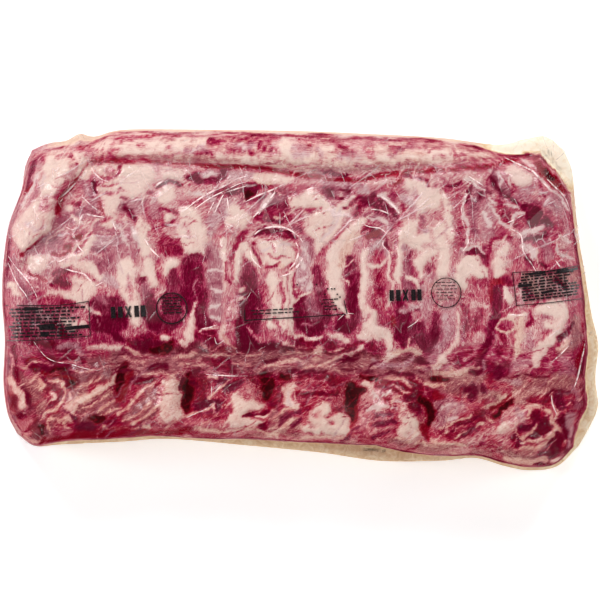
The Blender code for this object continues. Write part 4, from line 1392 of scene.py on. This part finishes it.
def beefMaterial():
    material, tree = newMaterial("wrapped_beef")
    coords = addNode(tree, "TexCoord").outputs["Object"]
    fatShare, veilShare, clotShare = splitColor(tree, readAttribute(tree, "tissue"))[:3]
    strawShare, redShare, brownShare = splitColor(tree, readAttribute(tree, "tissueHue"))[:3]
    alongGrain = readAttribute(tree, "grainPlace", "Vector")
    fibres = grainNoise(tree, alongGrain, 760, 4, 0, (4, 1, 2), 1.2)
    mottle = grainNoise(tree, coords, 190, 5, distortion=1.4)
    speck = grainNoise(tree, coords, 1300, 2)
    fat = varied(tree, fatShare, fibres, beef["fibres"])
    fat = varied(tree, fat, mottle, beef["mottle"])
    fat = varied(tree, fat, speck, beef["speck"])
    for size, gain in beef["veins"]:
        vein = calc(tree, "SUBTRACT", grainNoise(tree, alongGrain, size, 3, 0, (2.8, 1, 1), 2.4), 0.5)
        vein = remap(tree, calc(tree, "ABSOLUTE", vein), 0.0, 0.04, 1.0, 0.0)
        vein = calc(tree, "MULTIPLY", vein, remap(tree, fatShare, 0.7, 1.05, gain, 0.25 * gain))
        fat = calc(tree, "ADD", vein, fat)
    fat = blend(tree, 0.3, fat, remap(tree, fat, 0.15, 0.85))
    red = remap(tree, varied(tree, redShare, mottle, 0.8), 0.3, 1.0)
    color = blendColors(tree, red, ramp(tree, fat, beef["flesh"]), ramp(tree, fat, beef["redFlesh"]))
    veil = varied(tree, veilShare, fibres, 0.7, clamp=True)
    color = blendColors(tree, veil, color, ramp(tree, fat, beef["veil"]))
    brown = calc(tree, "MULTIPLY", brownShare, 0.85, clamp=True)
    color = blendColors(tree, brown, color, ramp(tree, fat, beef["brown"]))
    strawTone = calc(tree, "MULTIPLY_ADD", remap(tree, strawShare, 0.9, 1.5), 0.5, mottle)
    straw = calc(tree, "MULTIPLY", strawShare, remap(tree, fat, 0.2, 0.62), clamp=True)
    color = blendColors(tree, straw, color, ramp(tree, strawTone, beef["straw"]))
    clot = remap(tree, varied(tree, clotShare, mottle, 0.9), 0.25, 0.75)
    color = blendColors(tree, clot, color, ramp(tree, mottle, beef["clot"]))
    relief = calc(tree, "MULTIPLY_ADD", fibres, 0.4, calc(tree, "MULTIPLY", mottle, 0.8))
    relief = calc(tree, "MULTIPLY", relief, remap(tree, straw, 0.3, 1, 1, 0.15))
    bump = addNode(tree, "Bump", {"Height": relief, "Strength": 0.6, "Distance": beef["bumpDepth"]})
    values = {
        "Base Color": color,
        "Roughness": remap(tree, fat, 0.1, 0.9, 0.3, 0.45),
        "Specular IOR Level": 0.0,
        "Normal": bump.outputs[0],
    }
    shader = addNode(tree, "BsdfPrincipled", values)
    addNode(tree, "OutputMaterial", {"Surface": shader.outputs[0]})
    return material


def makeStriploin():
    sides = packSides(beef["underFilm"])
    wall = pack["wall"]
    halfLength, halfDepth = pack["halfSizes"]
    lines = (
        gridLines(2 * halfLength, wall["left"], wall["right"], beef["gridStep"], pack["wallLines"]),
        gridLines(2 * halfDepth, wall["front"], wall["back"], beef["gridStep"], pack["wallLines"]),
    )
    gridShape = (len(lines[1]), len(lines[0]))
    kept = {}

    def shape(s, t):
        plan = crowdedPlan(sides, s, t)
        x, y = plan.T
        share = wallShare(sides, plan)
        painted = paintTissue(x, y, baseTissue(x, y))
        lift = 1.6 * softened(painted[:, 6], gridShape, 2)
        lift += beef["relief"] * roughness(x, y, beef["reliefSize"], 141, 2)
        top = fullHeight(plan) + lift - beef["underFilm"]
        low = lipHeight(sides, plan)
        height = low + (top - low) * share
        kept.update(plan=plan, height=height, share=share)
        return np.column_stack([plan, height])

    obj, rim = gridPiece("striploin", lines, shape)
    addHem(obj, rim, beef["floor"], pack["hemInset"])
    places = readPlaces(obj.data)
    x, y, z = places.T
    values = paintTissue(x, y, baseTissue(x, y))
    values[:, 0] += 0.07 * roughness(x, y, 14, 161, 2) + 0.04 * roughness(x, y, 5, 171, 2)
    values[:, 0] -= valueAlong(beef["darker"], y) + 0.06 * eased((np.abs(x) - 120) / 30)
    for centre, halfSizes, turn, more in beef["fatter"]:
        values[:, 0] += more * swell(ovalReach(places[:, :2], centre, halfSizes, turn))
    front = eased((-50 - y) / 10)
    values[:, 4] += 0.15 * front
    values[:, 3] += 0.1 * front
    side = eased((0.5 - wallShare(sides, places[:, :2])) / 0.2)
    side = np.where(z < pack["rimHeight"] + 1, 1, side)[:, None]
    values = values * (1 - side) + sideTissue(x, y, z) * side
    paintPoints(obj.data, "tissue", values[:, :3])
    paintPoints(obj.data, "tissueHue", values[:, 3:6])
    turns = np.radians(grain["turns"])[grainWays(x, y + 6 * roughness(x, y, 24, 231, 2)).argmax(axis=1)]
    along, across = x * np.cos(turns) + y * np.sin(turns), y * np.cos(turns) - x * np.sin(turns)
    attribute = obj.data.attributes.new("grainPlace", "FLOAT_VECTOR", "POINT")
    attribute.data.foreach_set("vector", (mm * np.column_stack([along, across, z])).ravel())
    finishPiece(obj, beefMaterial())
    print("beef:", len(obj.data.polygons), "faces")
    return lines, gridShape, kept


# The clear shrunk bag around it

film = {
    "gap": 0.5,  # how far it lies off the beef where it is tight
    "bridgePasses": 16,  # more passes draw it flatter across the hollows
    "bridgeReach": 3,
    "crumple": 0.35,
    "hazeAndGlare": 0.001,
    # long shards between folds: scale, turn, stretch and gain of each layer, and how much they bend
    "crinkles": ((60, 36, 4.5, 0.9), (95, 108, 3.5, 0.7)),
    "sway": 0.009,
    # white laid along the fold lines, partly the whitening of doubled film and partly painted glint, and over
    # the shards, which is painted glare
    "foldWhiteAndGlintShare": 0.5,
    "shardGlareShare": 0.1,
    "facets": 4.5,
    "mostGloss": 0.022,
    "glossRoughness": 0.21,
    # centre, half sizes and turn in degrees, where it lies tight though the rest is loose
    "tight": (((183, 92), (10, 8), -40), ((142, 0), (9, 17), 0), ((195, -85), (9, 11), 0)),
}


def slackness(x, y):
    # How loose the film is: loose over the tail side and the ends, tight over the ridge
    loose = 0.12 + 0.8 * eased((y - 15) / 35) * eased((103 - y) / 6)
    loose += 0.4 * eased((np.abs(x) - 130) / 40) * eased((y + 50) / 30)
    return np.clip(loose + 0.45 * roughness(x, y, 26, 211, 2), 0, 1)


def filmMaterial():
    material, tree = newMaterial("clear_film")
    coords = addNode(tree, "TexCoord").outputs["Object"]
    slack, sheen = splitColor(tree, readAttribute(tree, "filmShares"))[:2]
    crinkle = grainNoise(tree, coords, 130, 3, 30, (2.2, 1, 1), 1.2)
    lines, shards, slopes = 0.0, 0.0, 0.0
    for scale, turn, stretch, gain in film["crinkles"]:
        edge, shard, slope = crinkleCells(tree, coords, scale, turn, stretch)
        broken = remap(tree, grainNoise(tree, coords, scale, 2, turn), 0.46, 0.62, 0, gain)
        line = calc(tree, "MULTIPLY", remap(tree, edge, 0.0, 0.04, 1, 0), broken)
        lines = calc(tree, "MAXIMUM", lines, line)
        shards = calc(tree, "MULTIPLY_ADD", remap(tree, shard, 0.55, 1.0), gain, shards)
        slopes = calc(tree, "MULTIPLY_ADD", slope, gain, slopes)
    relief = calc(tree, "MULTIPLY_ADD", shards, 0.3, calc(tree, "MULTIPLY_ADD", lines, 0.8, crinkle))
    relief = calc(tree, "MULTIPLY_ADD", slopes, calc(tree, "MULTIPLY", slack, film["facets"]), relief)
    bump = addNode(tree, "Bump", {"Height": relief, "Strength": 0.5, "Distance": 0.001})
    clear = addNode(tree, "BsdfTransparent", {"Color": (0.99, 0.99, 0.99, 1)})
    values = {"Color": (1, 1, 1, 1), "Roughness": film["glossRoughness"], "Normal": bump.outputs[0]}
    gloss = addNode(tree, "BsdfAnisotropic", values)
    fresnel = addNode(tree, "Fresnel", {"IOR": 1.5, "Normal": bump.outputs[0]})
    mirrored = calc(tree, "MULTIPLY", calc(tree, "MINIMUM", fresnel.outputs[0], film["mostGloss"]), sheen)
    shine = addNode(tree, "MixShader", {0: mirrored, 1: clear.outputs[0], 2: gloss.outputs[0]})
    # Diffuse white over the clear film: its own haze where slack, white along the fold lines (partly doubled
    # film's whitening, partly painted glint), and painted glare over the shards
    hazeAndGlare = calc(tree, "MULTIPLY", lines, film["foldWhiteAndGlintShare"])
    hazeAndGlare = calc(tree, "MULTIPLY_ADD", shards, film["shardGlareShare"], hazeAndGlare)
    hazeAndGlare = calc(tree, "MULTIPLY_ADD", hazeAndGlare, slack, film["hazeAndGlare"])
    hazeGlareWhite = addNode(tree, "BsdfDiffuse", {"Color": srgb(250, 230, 230)})
    whole = addNode(tree, "MixShader", {0: hazeAndGlare, 1: shine.outputs[0], 2: hazeGlareWhite.outputs[0]})
    addNode(tree, "OutputMaterial", {"Surface": whole.outputs[0]})
    return material


def makeBagFilm(lines, gridShape, under):
    sides = packSides()
    drawn = {}

    def shape(s, t):
        plan = crowdedPlan(sides, s, t)
        x, y = plan.T
        beneath = under["height"]
        bridged = np.maximum(softened(beneath, gridShape, film["bridgePasses"], film["bridgeReach"]), beneath)
        inner = eased((under["share"] - 0.6) / 0.3)
        crumple = film["crumple"] * np.abs(roughness(x, y, 14, 151, 2)) * inner
        low = lipHeight(sides, plan)
        wallHeight = low + (fullHeight(plan) - low) * wallShare(sides, plan)
        height = (1 - inner) * np.maximum(wallHeight, beneath) + inner * (bridged + film["gap"] + crumple)
        drawn.update(plan=plan, height=height)
        return np.column_stack([plan, height])

    obj, rim = gridPiece("bag_film", lines, shape)
    addHem(obj, rim, 0, pack["hemInset"])
    places = readPlaces(obj.data)[:, :2]
    slack = slackness(*places.T)
    for centre, halfSizes, turn in (*pack["pits"], *film["tight"]):
        slack *= 1 - 0.9 * swell(0.8 * ovalReach(places, centre, halfSizes, turn))
    sheen = eased(wallShare(sides, places) / 0.9 - 0.1) * eased(0.2 + 1.6 * slack)
    paintPoints(obj.data, "filmShares", np.stack([slack, sheen], axis=1))
    finishPiece(obj, filmMaterial())
    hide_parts("sealed_loin")
    print("film:", len(obj.data.polygons), "faces")
    return drawn["plan"].reshape(*gridShape, 2), drawn["height"].reshape(gridShape)


def filmHeightFinder(plan, height):
    # Height of the film at any place, from its grid's corners averaged in square cells
    cell, halfLength, halfDepth = 2.0, 220, 128
    columns, rows = int(2 * halfLength / cell) + 1, int(2 * halfDepth / cell) + 1
    i = np.clip(((plan[..., 0] + halfLength) / cell).astype(int), 0, columns - 1)
    j = np.clip(((plan[..., 1] + halfDepth) / cell).astype(int), 0, rows - 1)
    total, count = np.zeros((columns, rows)), np.zeros((columns, rows))
    np.add.at(total, (i, j), height)
    np.add.at(count, (i, j), 1)
    board = total / np.maximum(count, 1)
    board[count == 0] = pack["rimHeight"]

    def heightAt(x, y):
        u = np.clip((x + halfLength) / cell - 0.5, 0, columns - 1.001)
        v = np.clip((y + halfDepth) / cell - 0.5, 0, rows - 1.001)
        i, j = u.astype(int), v.astype(int)
        a, b = u - i, v - j
        low = board[i, j] * (1 - a) + board[i + 1, j] * a
        high = board[i, j + 1] * (1 - a) + board[i + 1, j + 1] * a
        return low * (1 - b) + high * b

    return heightAt


# Folds that stand up in the shrunk film

folds = {
    "sink": 0.15,
    "widen": 1.8,
    # painted light: the folds glow though no lamp lights them
    "paintedLightGlow": 0.3,
    "strayCount": 70,
    "strayLength": (4, 14),
    "strayWidth": (0.07, 0.16),
    # each long fold: its width in mm, then the places that it passes through
    "long": """
    .5: -152 97, -148 91, -143 87, -138 86
    .5: -158 75, -153 70, -148 66, -143 63
    .9: -170 53, -165 51, -161 54, -158 61, -155 62, -149 61, -142 60
    .6: -180 32, -175 28, -170 30, -168 29
    .5: -163 44, -160 38, -155 33
    .5: -136 57, -134 52, -132 49
    .8: -174 24, -165 21, -157 19, -152 14, -149 10, -143 13
    .5: -212 32, -207 25, -201 18, -196 12, -192 5, -190 0
    .5: -212 27, -205 12, -199 4, -196 -2
    .7: -113 45, -108 37, -102 31
    .8: -106 80, -103 84, -98 87
    .7: -85 64, -75 72, -65 78, -55 83, -45 88, -38 90
    .5: -84 60, -75 67, -65 74, -55 79, -45 84, -38 86
    .5: -60 80, -50 85
    .6: -57 77, -48 80, -38 83
    .5: -67 62, -62 72
    .6: -62 63, -57 74, -54 78
    .5: -53 76, -52 68, -51 64
    .5: -55 56, -50 54, -46 51
    .7: -40 71, -30 76, -20 80, -12 84
    .6: -30 62, -24 70, -18 79
    1: -34 60, -28 66, -22 73, -18 78
    .5: 2 79, 8 81, 14 82
    .8: -37 42, -30 50, -20 53, -10 52, -2 47, 2 42
    .8: -3 42, -1 36, -3 28, -8 22
    1: 2 30, -3 23, -8 19, -14 17
    .7: -36 36, -34 29, -28 23
    .6: 33 55, 38 58, 43 58, 48 54, 52 53
    .6: 51 66, 58 65, 66 62
    .5: 50 53, 58 52, 63 48
    .5: 62 45, 60 40, 65 34
    1: 56 76, 62 73, 68 68, 72 63
    .6: 118 88, 125 84, 132 81
    .5: 122 90, 133 83
    .5: 120 80, 120 72, 117 67, 118 60
    .6: 117 60, 120 50, 122 42, 118 35
    .7: 138 108, 150 103, 160 98, 168 94, 173 89, 180 81
    .5: 172 106, 180 100, 186 95, 190 91
    .5: 178 89, 185 82, 192 75, 196 66, 197 60
    .5: 148 55, 155 58, 162 62
    .5: 151 52, 158 56
    .6: 150 53, 160 47, 162 35, 168 26, 172 19
    .5: 185 29, 190 22
    .6: 208 -5, 208 -25, 204 -45, 200 -60, 196 -67
    .3: 190 -20, 184 -24, 180 -28
    .5: 195 -33, 188 -40, 180 -47
    .8: 150 -10.5, 162 -11
    .5: 178 -4, 182 -6
    .3: 27 -15, 33 -10, 39 -10
    .4: 78 -20, 84 -16, 87 -12
    .3: -193 -30, -188 -37, -183 -42, -176 -45, -167 -46, -158 -49, -147 -51, -143 -49
    .4: -68 -54, -50 -55, -38 -55
    .3: -64 -60, -64 -70
    .3: -62 -67, -56 -61
    .3: -57 -67, -50 -61
    .3: -62 -27, -60 -32, -55 -29
    .5: -72 -21, -66 -20, -60 -18
    .5: -82 -85, -75 -82, -68 -79, -64 -75
    .5: 182 -69, 183 -76, 186 -83
    .3: 53 -72, 55 -76, 58 -71
    """,
}


def longFolds():
    for row in folds["long"].strip().splitlines():
        width, places = row.split(":")
        yield float(width), *[tuple(map(float, place.split())) for place in places.split(",")]


def strayFolds():
    # Small folds at random places and ways, more of them where the film is slack
    chance = np.random.default_rng(5)
    made = []
    while len(made) < folds["strayCount"]:
        x, y = chance.uniform(-208, 208), chance.uniform(-110, 116)
        if chance.random() > slackness(np.array([x]), np.array([y]))[0]:
            continue
        turn = chance.normal(0.5, 0.7) if chance.random() < 0.6 else chance.uniform(0, math.pi)
        length = chance.uniform(*folds["strayLength"]) * chance.uniform(0.4, 1)
        bend = chance.normal(0, 0.25)
        way = np.array([math.cos(turn), math.sin(turn)])
        aside = np.array([-way[1], way[0]])
        run = []
        for share in np.linspace(-0.5, 0.5, 4):
            side = length * bend * (0.25 - share * share) + chance.normal(0, 0.4)
            run.append((x, y) + way * length * share + aside * side)
        made.append((chance.uniform(*folds["strayWidth"]), *[tuple(stop) for stop in run]))
    return made


def foldMaterial():
    material, tree = newMaterial("film_fold")
    coords = addNode(tree, "TexCoord").outputs["Object"]
    broken = grainNoise(tree, coords, 240, 3)
    clear = addNode(tree, "BsdfTransparent")
    # The folds' white is partly the whitening of doubled film and partly painted glint; their glow is painted
    # light, so that their shaded sides don't go grey.
    values = {"Base Color": srgb(246, 228, 226), "Roughness": 0.4, "Specular IOR Level": 0.2}
    values.update({"Emission Color": srgb(255, 236, 234), "Emission Strength": folds["paintedLightGlow"]})
    white = addNode(tree, "BsdfPrincipled", values)
    share = remap(tree, broken, 0.36, 0.6, 0.05, 0.6)
    whole = addNode(tree, "MixShader", {0: share, 1: clear.outputs[0], 2: white.outputs[0]})
    addNode(tree, "OutputMaterial", {"Surface": whole.outputs[0]})
    return material


def makeFolds(heightAt):
    data = bpy.data.curves.new("film_folds", "CURVE")
    data.dimensions = "3D"
    data.bevel_depth, data.bevel_resolution = 1, 1
    data.use_fill_caps = True
    for width, *stops in (*longFolds(), *strayFolds()):
        run = smoothRun(stops, 1.6)
        inside = wallShare(packSides(), run) > 0.45
        run = run[inside]
        if len(run) < 3:
            continue
        heights = heightAt(run[:, 0], run[:, 1]) - folds["sink"]
        taper = np.sin(np.linspace(0.08, 0.92, len(run)) * math.pi)
        spline = data.splines.new("POLY")
        spline.points.add(len(run) - 1)
        for point, (x, y), z, share in zip(spline.points, run, heights, taper):
            point.co = (x, y, z, 1)
            point.radius = folds["widen"] * 0.5 * width * share
    obj = bpy.data.objects.new("film_folds", data)
    bpy.context.scene.collection.objects.link(obj)
    makeActive(obj)
    bpy.ops.object.convert(target="MESH")
    finishPiece(obj, foldMaterial())
    print("folds:", len(obj.data.polygons), "faces")


# Ink printed on the film: boxes, rings, bars and rows of short dashes

ink = {
    "lift": 0.25,
    "thickness": 0.1,
    # lines: width, then two ends
    "lines": (
        (0.6, (-214, -4), (-176, -4)), (0.6, (-176, -4), (-163, -2.5)), (0.6, (-163, -2.5), (-153, -1)),
        (0.6, (-153, -1), (-152, -26)), (0.6, (-152, -26), (-175, -28)), (0.6, (-175, -28), (-195, -29.5)),
        (0.6, (-195, -29.5), (-213, -29.5)),
        (0.8, (-40, -7), (-40, -15)), (0.8, (-40, -14.8), (-20, -13.5)), (0.8, (-20, -13.5), (0, -12.5)),
        (0.8, (0, -12.5), (15, -11.5)), (0.8, (15, -11.5), (33, -10.3)), (0.7, (32, 0), (34, -10)),
        (0.6, (154, 20), (180, 21)), (0.6, (180, 21), (203, 25)), (0.6, (154, 20), (157, -4)),
        (0.6, (156.5, -4), (180, -2)), (0.6, (180, -2), (205, 1)), (0.5, (191, 20), (194, 2)),
        (4.0, (-189, -20), (-178, -19)), (3.0, (-188, -25), (-182, -24.5)), (2.6, (-170, -20.6), (-153, -19)),
        (2.4, (-200, -6.4), (-190, -6.4)), (1.6, (166, 18.6), (178, 20)), (1.8, (186, 20), (202, 23)),
        (2.2, (158, 10), (168, 11)), (1.8, (175, 5), (184, 7)),
    ),
    # rings: centre, radius and line
    "rings": (((-93, -6), 11.5, 0.9), ((106, 5.3), 11.0, 0.7)),
    # bold marks of two blocks, a cross and two blocks: middle, width, height and tilt in degrees
    "marks": (((-124.5, -8.5), 26, 8.2, 3), ((76.5, 3.5), 24, 8, 1.5)),
    # rows of dashes: start, length, tilt in degrees, row count, pitch and dash height
    "rows": (
        ((-212, -7), 57, 2, 9, 2.5, 1.3),
        ((-101, 1.5), 16, 2, 6, 2.2, 0.9),
        ((98, 12.5), 16, 2, 6, 2.4, 0.6),
        ((-38, -8), 42, 3, 2, 2.4, 0.9),
        ((157, 18), 46, 7, 10, 2.1, 1.2),
        ((16, 0), 12, 4, 4, 2.4, 0.8),
    ),
    "specks": (
        (-2, 11), (12, 11), (18, 4), (20, 8), (23, 8), (25, 8),
        (27, 4), (29, 2), (16, -3), (22, -5), (26, -7),
    ),
}


def printStrokes():
    # All straight strokes of the print: width and two ends
    chance = np.random.default_rng(8)
    strokes = list(ink["lines"])
    for (x, y), width, height, tilt in ink["marks"]:
        way = heading(tilt)
        up = np.array([-way[1], way[0]]) * height / 2
        for share in (-0.42, -0.22, 0.24, 0.42):
            foot = np.array((x, y)) + way * width * share
            strokes.append((0.13 * width, tuple(foot - up), tuple(foot + up)))
        for side in (-1, 1):
            lean = way * 0.07 * width * side
            strokes.append((1.3, tuple((x, y) - up - lean), tuple((x, y) + up + lean)))
    for (x, y), length, tilt, count, pitch, height in ink["rows"]:
        way = heading(tilt)
        for row in range(count):
            start = np.array((x, y)) - np.array([-way[1], way[0]]) * pitch * row
            passed = chance.uniform(0, 0.1 * length)
            end = length * chance.uniform(0.75, 1)
            while passed < end:
                dash = chance.uniform(1.2, 5.0)
                stop = min(passed + dash, end + 0.6)
                strokes.append((height, tuple(start + way * passed), tuple(start + way * stop)))
                passed += dash + chance.uniform(0.5, 1.2)
    strokes += [(1.0, (x - 0.6, y), (x + 0.6, y + 0.2)) for x, y in ink["specks"]]
    return strokes


def inkMaterial():
    material, tree = newMaterial("pack_ink")
    coords = addNode(tree, "TexCoord").outputs["Object"]
    worn = grainNoise(tree, coords, 900, 3)
    color = ramp(tree, worn, ((0.35, (14, 10, 12)), (0.65, (36, 26, 30))))
    clear = addNode(tree, "BsdfTransparent")
    values = {"Base Color": color, "Roughness": 0.4, "Specular IOR Level": 0.2}
    black = addNode(tree, "BsdfPrincipled", values)
    share = remap(tree, worn, 0.32, 0.42, 0.6, 0.97)
    whole = addNode(tree, "MixShader", {0: share, 1: clear.outputs[0], 2: black.outputs[0]})
    addNode(tree, "OutputMaterial", {"Surface": whole.outputs[0]})
    return material


def makePrint(heightAt):
    deselectAll()
    bpy.ops.mesh.primitive_grid_add(x_subdivisions=4, y_subdivisions=1, size=1)
    dash = bpy.context.object
    unit = readPlaces(dash.data)
    parts = []
    for width, start, end in printStrokes():
        start, end = np.array(start, float), np.array(end, float)
        way = end - start
        aside = np.array([-way[1], way[0]]) / np.linalg.norm(way)
        part = dash.copy()
        part.data = dash.data.copy()
        plan = (start + end) / 2 + unit[:, :1] * way + unit[:, 1:2] * aside * width
        writePlaces(part.data, np.column_stack([plan, np.zeros(len(plan))]))
        bpy.context.scene.collection.objects.link(part)
        parts.append(part)
    for (x, y), radius, line in ink["rings"]:
        bpy.ops.mesh.primitive_circle_add(vertices=72, radius=radius, location=(x, y, 0))
        ring = bpy.context.object
        bpy.ops.object.transform_apply(location=True)
        bpy.ops.object.mode_set(mode="EDIT")
        bpy.ops.mesh.select_all(action="SELECT")
        bpy.ops.mesh.extrude_edges_move()
        share = (radius - line) / radius
        bpy.ops.transform.resize(value=(share, share, 1), center_override=(x, y, 0))
        bpy.ops.object.mode_set(mode="OBJECT")
        parts.append(ring)
    bpy.data.objects.remove(dash)
    deselectAll()
    for part in parts:
        part.select_set(True)
    bpy.context.view_layer.objects.active = parts[0]
    bpy.ops.object.join()
    obj = bpy.context.object
    obj.name = obj.data.name = "film_print"
    places = readPlaces(obj.data)
    places[:, 2] = heightAt(places[:, 0], places[:, 1]) + ink["lift"]
    writePlaces(obj.data, places)
    bpy.ops.object.mode_set(mode="EDIT")
    bpy.ops.mesh.select_all(action="SELECT")
    bpy.ops.mesh.normals_make_consistent(inside=False)
    bpy.ops.object.mode_set(mode="OBJECT")
    solid = obj.modifiers.new("thickness", "SOLIDIFY")
    solid.thickness, solid.offset = ink["thickness"], 0
    bpy.ops.object.modifier_apply(modifier=solid.name)
    finishPiece(obj, inkMaterial(), 30)
    print("print:", len(obj.data.polygons), "faces")


# Floor, light and camera

studio = {
    "lens": 700,
    "frameWidth": 436.6,  # what 600 pixels take in at the height of aim
    "aimHeight": 30,
    "floorSize": 14,  # metres
    "bandLight": 0.22,  # round the horizon
    "zenithLight": 0.02,  # kept dark, so that the flat film doesn't mirror it
    # a ring of soft lights: azimuth, elevation, distance in metres, size and power
    "lights": (
        (120, 42, 1.5, 0.42, 10.6),
        (60, 38, 1.5, 0.36, 6.4),
        (5, 35, 1.5, 0.36, 4.4),
        (300, 40, 1.5, 0.36, 3.8),
        (235, 38, 1.5, 0.42, 4.6),
        (178, 35, 1.5, 0.36, 6.2),
    ),
}


def floorMaterial():
    material, tree = newMaterial("pale_floor")
    coords = addNode(tree, "TexCoord").outputs["Object"]
    shade = grainNoise(tree, coords, 6, 2)
    color = ramp(tree, shade, ((0.3, (250, 250, 250)), (0.7, (254, 254, 254))))
    values = {"Base Color": color, "Roughness": 0.9, "Specular IOR Level": 0.1, "Emission Color": color}
    shader = addNode(tree, "BsdfPrincipled", {**values, "Emission Strength": 0.35})
    addNode(tree, "OutputMaterial", {"Surface": shader.outputs[0]})
    return material


def makeStage():
    deselectAll()
    bpy.ops.mesh.primitive_plane_add(size=studio["floorSize"], location=(0, 0, -0.0002))
    floor = bpy.context.object
    floor.name = "studio_floor"
    floor.data.materials.append(floorMaterial())
    world = bpy.data.worlds.new("studio")
    world.use_nodes = True
    tree = world.node_tree
    upward = addNode(tree, "SeparateXYZ", {0: addNode(tree, "TexCoord").outputs["Generated"]}).outputs[2]
    strength = remap(tree, upward, 0.35, 0.85, studio["bandLight"], studio["zenithLight"])
    tree.links.new(strength, tree.nodes["Background"].inputs["Strength"])
    tree.nodes["Background"].inputs["Color"].default_value = (1, 1, 1, 1)
    bpy.context.scene.world = world
    for azimuth, elevation, away, size, power in studio["lights"]:
        turn, rise = math.radians(azimuth), math.radians(elevation)
        level = math.cos(rise) * away
        place = (math.cos(turn) * level, math.sin(turn) * level, math.sin(rise) * away)
        bpy.ops.object.light_add(type="AREA", location=place)
        light = bpy.context.object
        light.data.shape = "SQUARE"
        light.data.size, light.data.energy = size, power
        light.rotation_euler = (-light.location).to_track_quat("-Z", "Y").to_euler()
    print("stage:", len(studio["lights"]), "lights")


def makeCamera():
    # Straight above the middle, far off behind a long lens
    sensor = 36
    away = studio["frameWidth"] * mm * studio["lens"] / sensor
    bpy.ops.object.camera_add(location=(0, 0, studio["aimHeight"] * mm + away), rotation=(0, 0, 0))
    camera = bpy.context.object
    camera.data.lens, camera.data.sensor_width = studio["lens"], sensor
    camera.data.clip_end = 100
    bpy.context.scene.camera = camera
    bpy.context.scene.view_settings.view_transform = "Standard"
    print("camera:", round(away, 2), "m away")


makeStage()
makeCamera()
lines, gridShape, under = makeStriploin()
filmPlan, filmHeights = makeBagFilm(lines, gridShape, under)
heightAt = filmHeightFinder(filmPlan, filmHeights)
makeFolds(heightAt)
makePrint(heightAt)
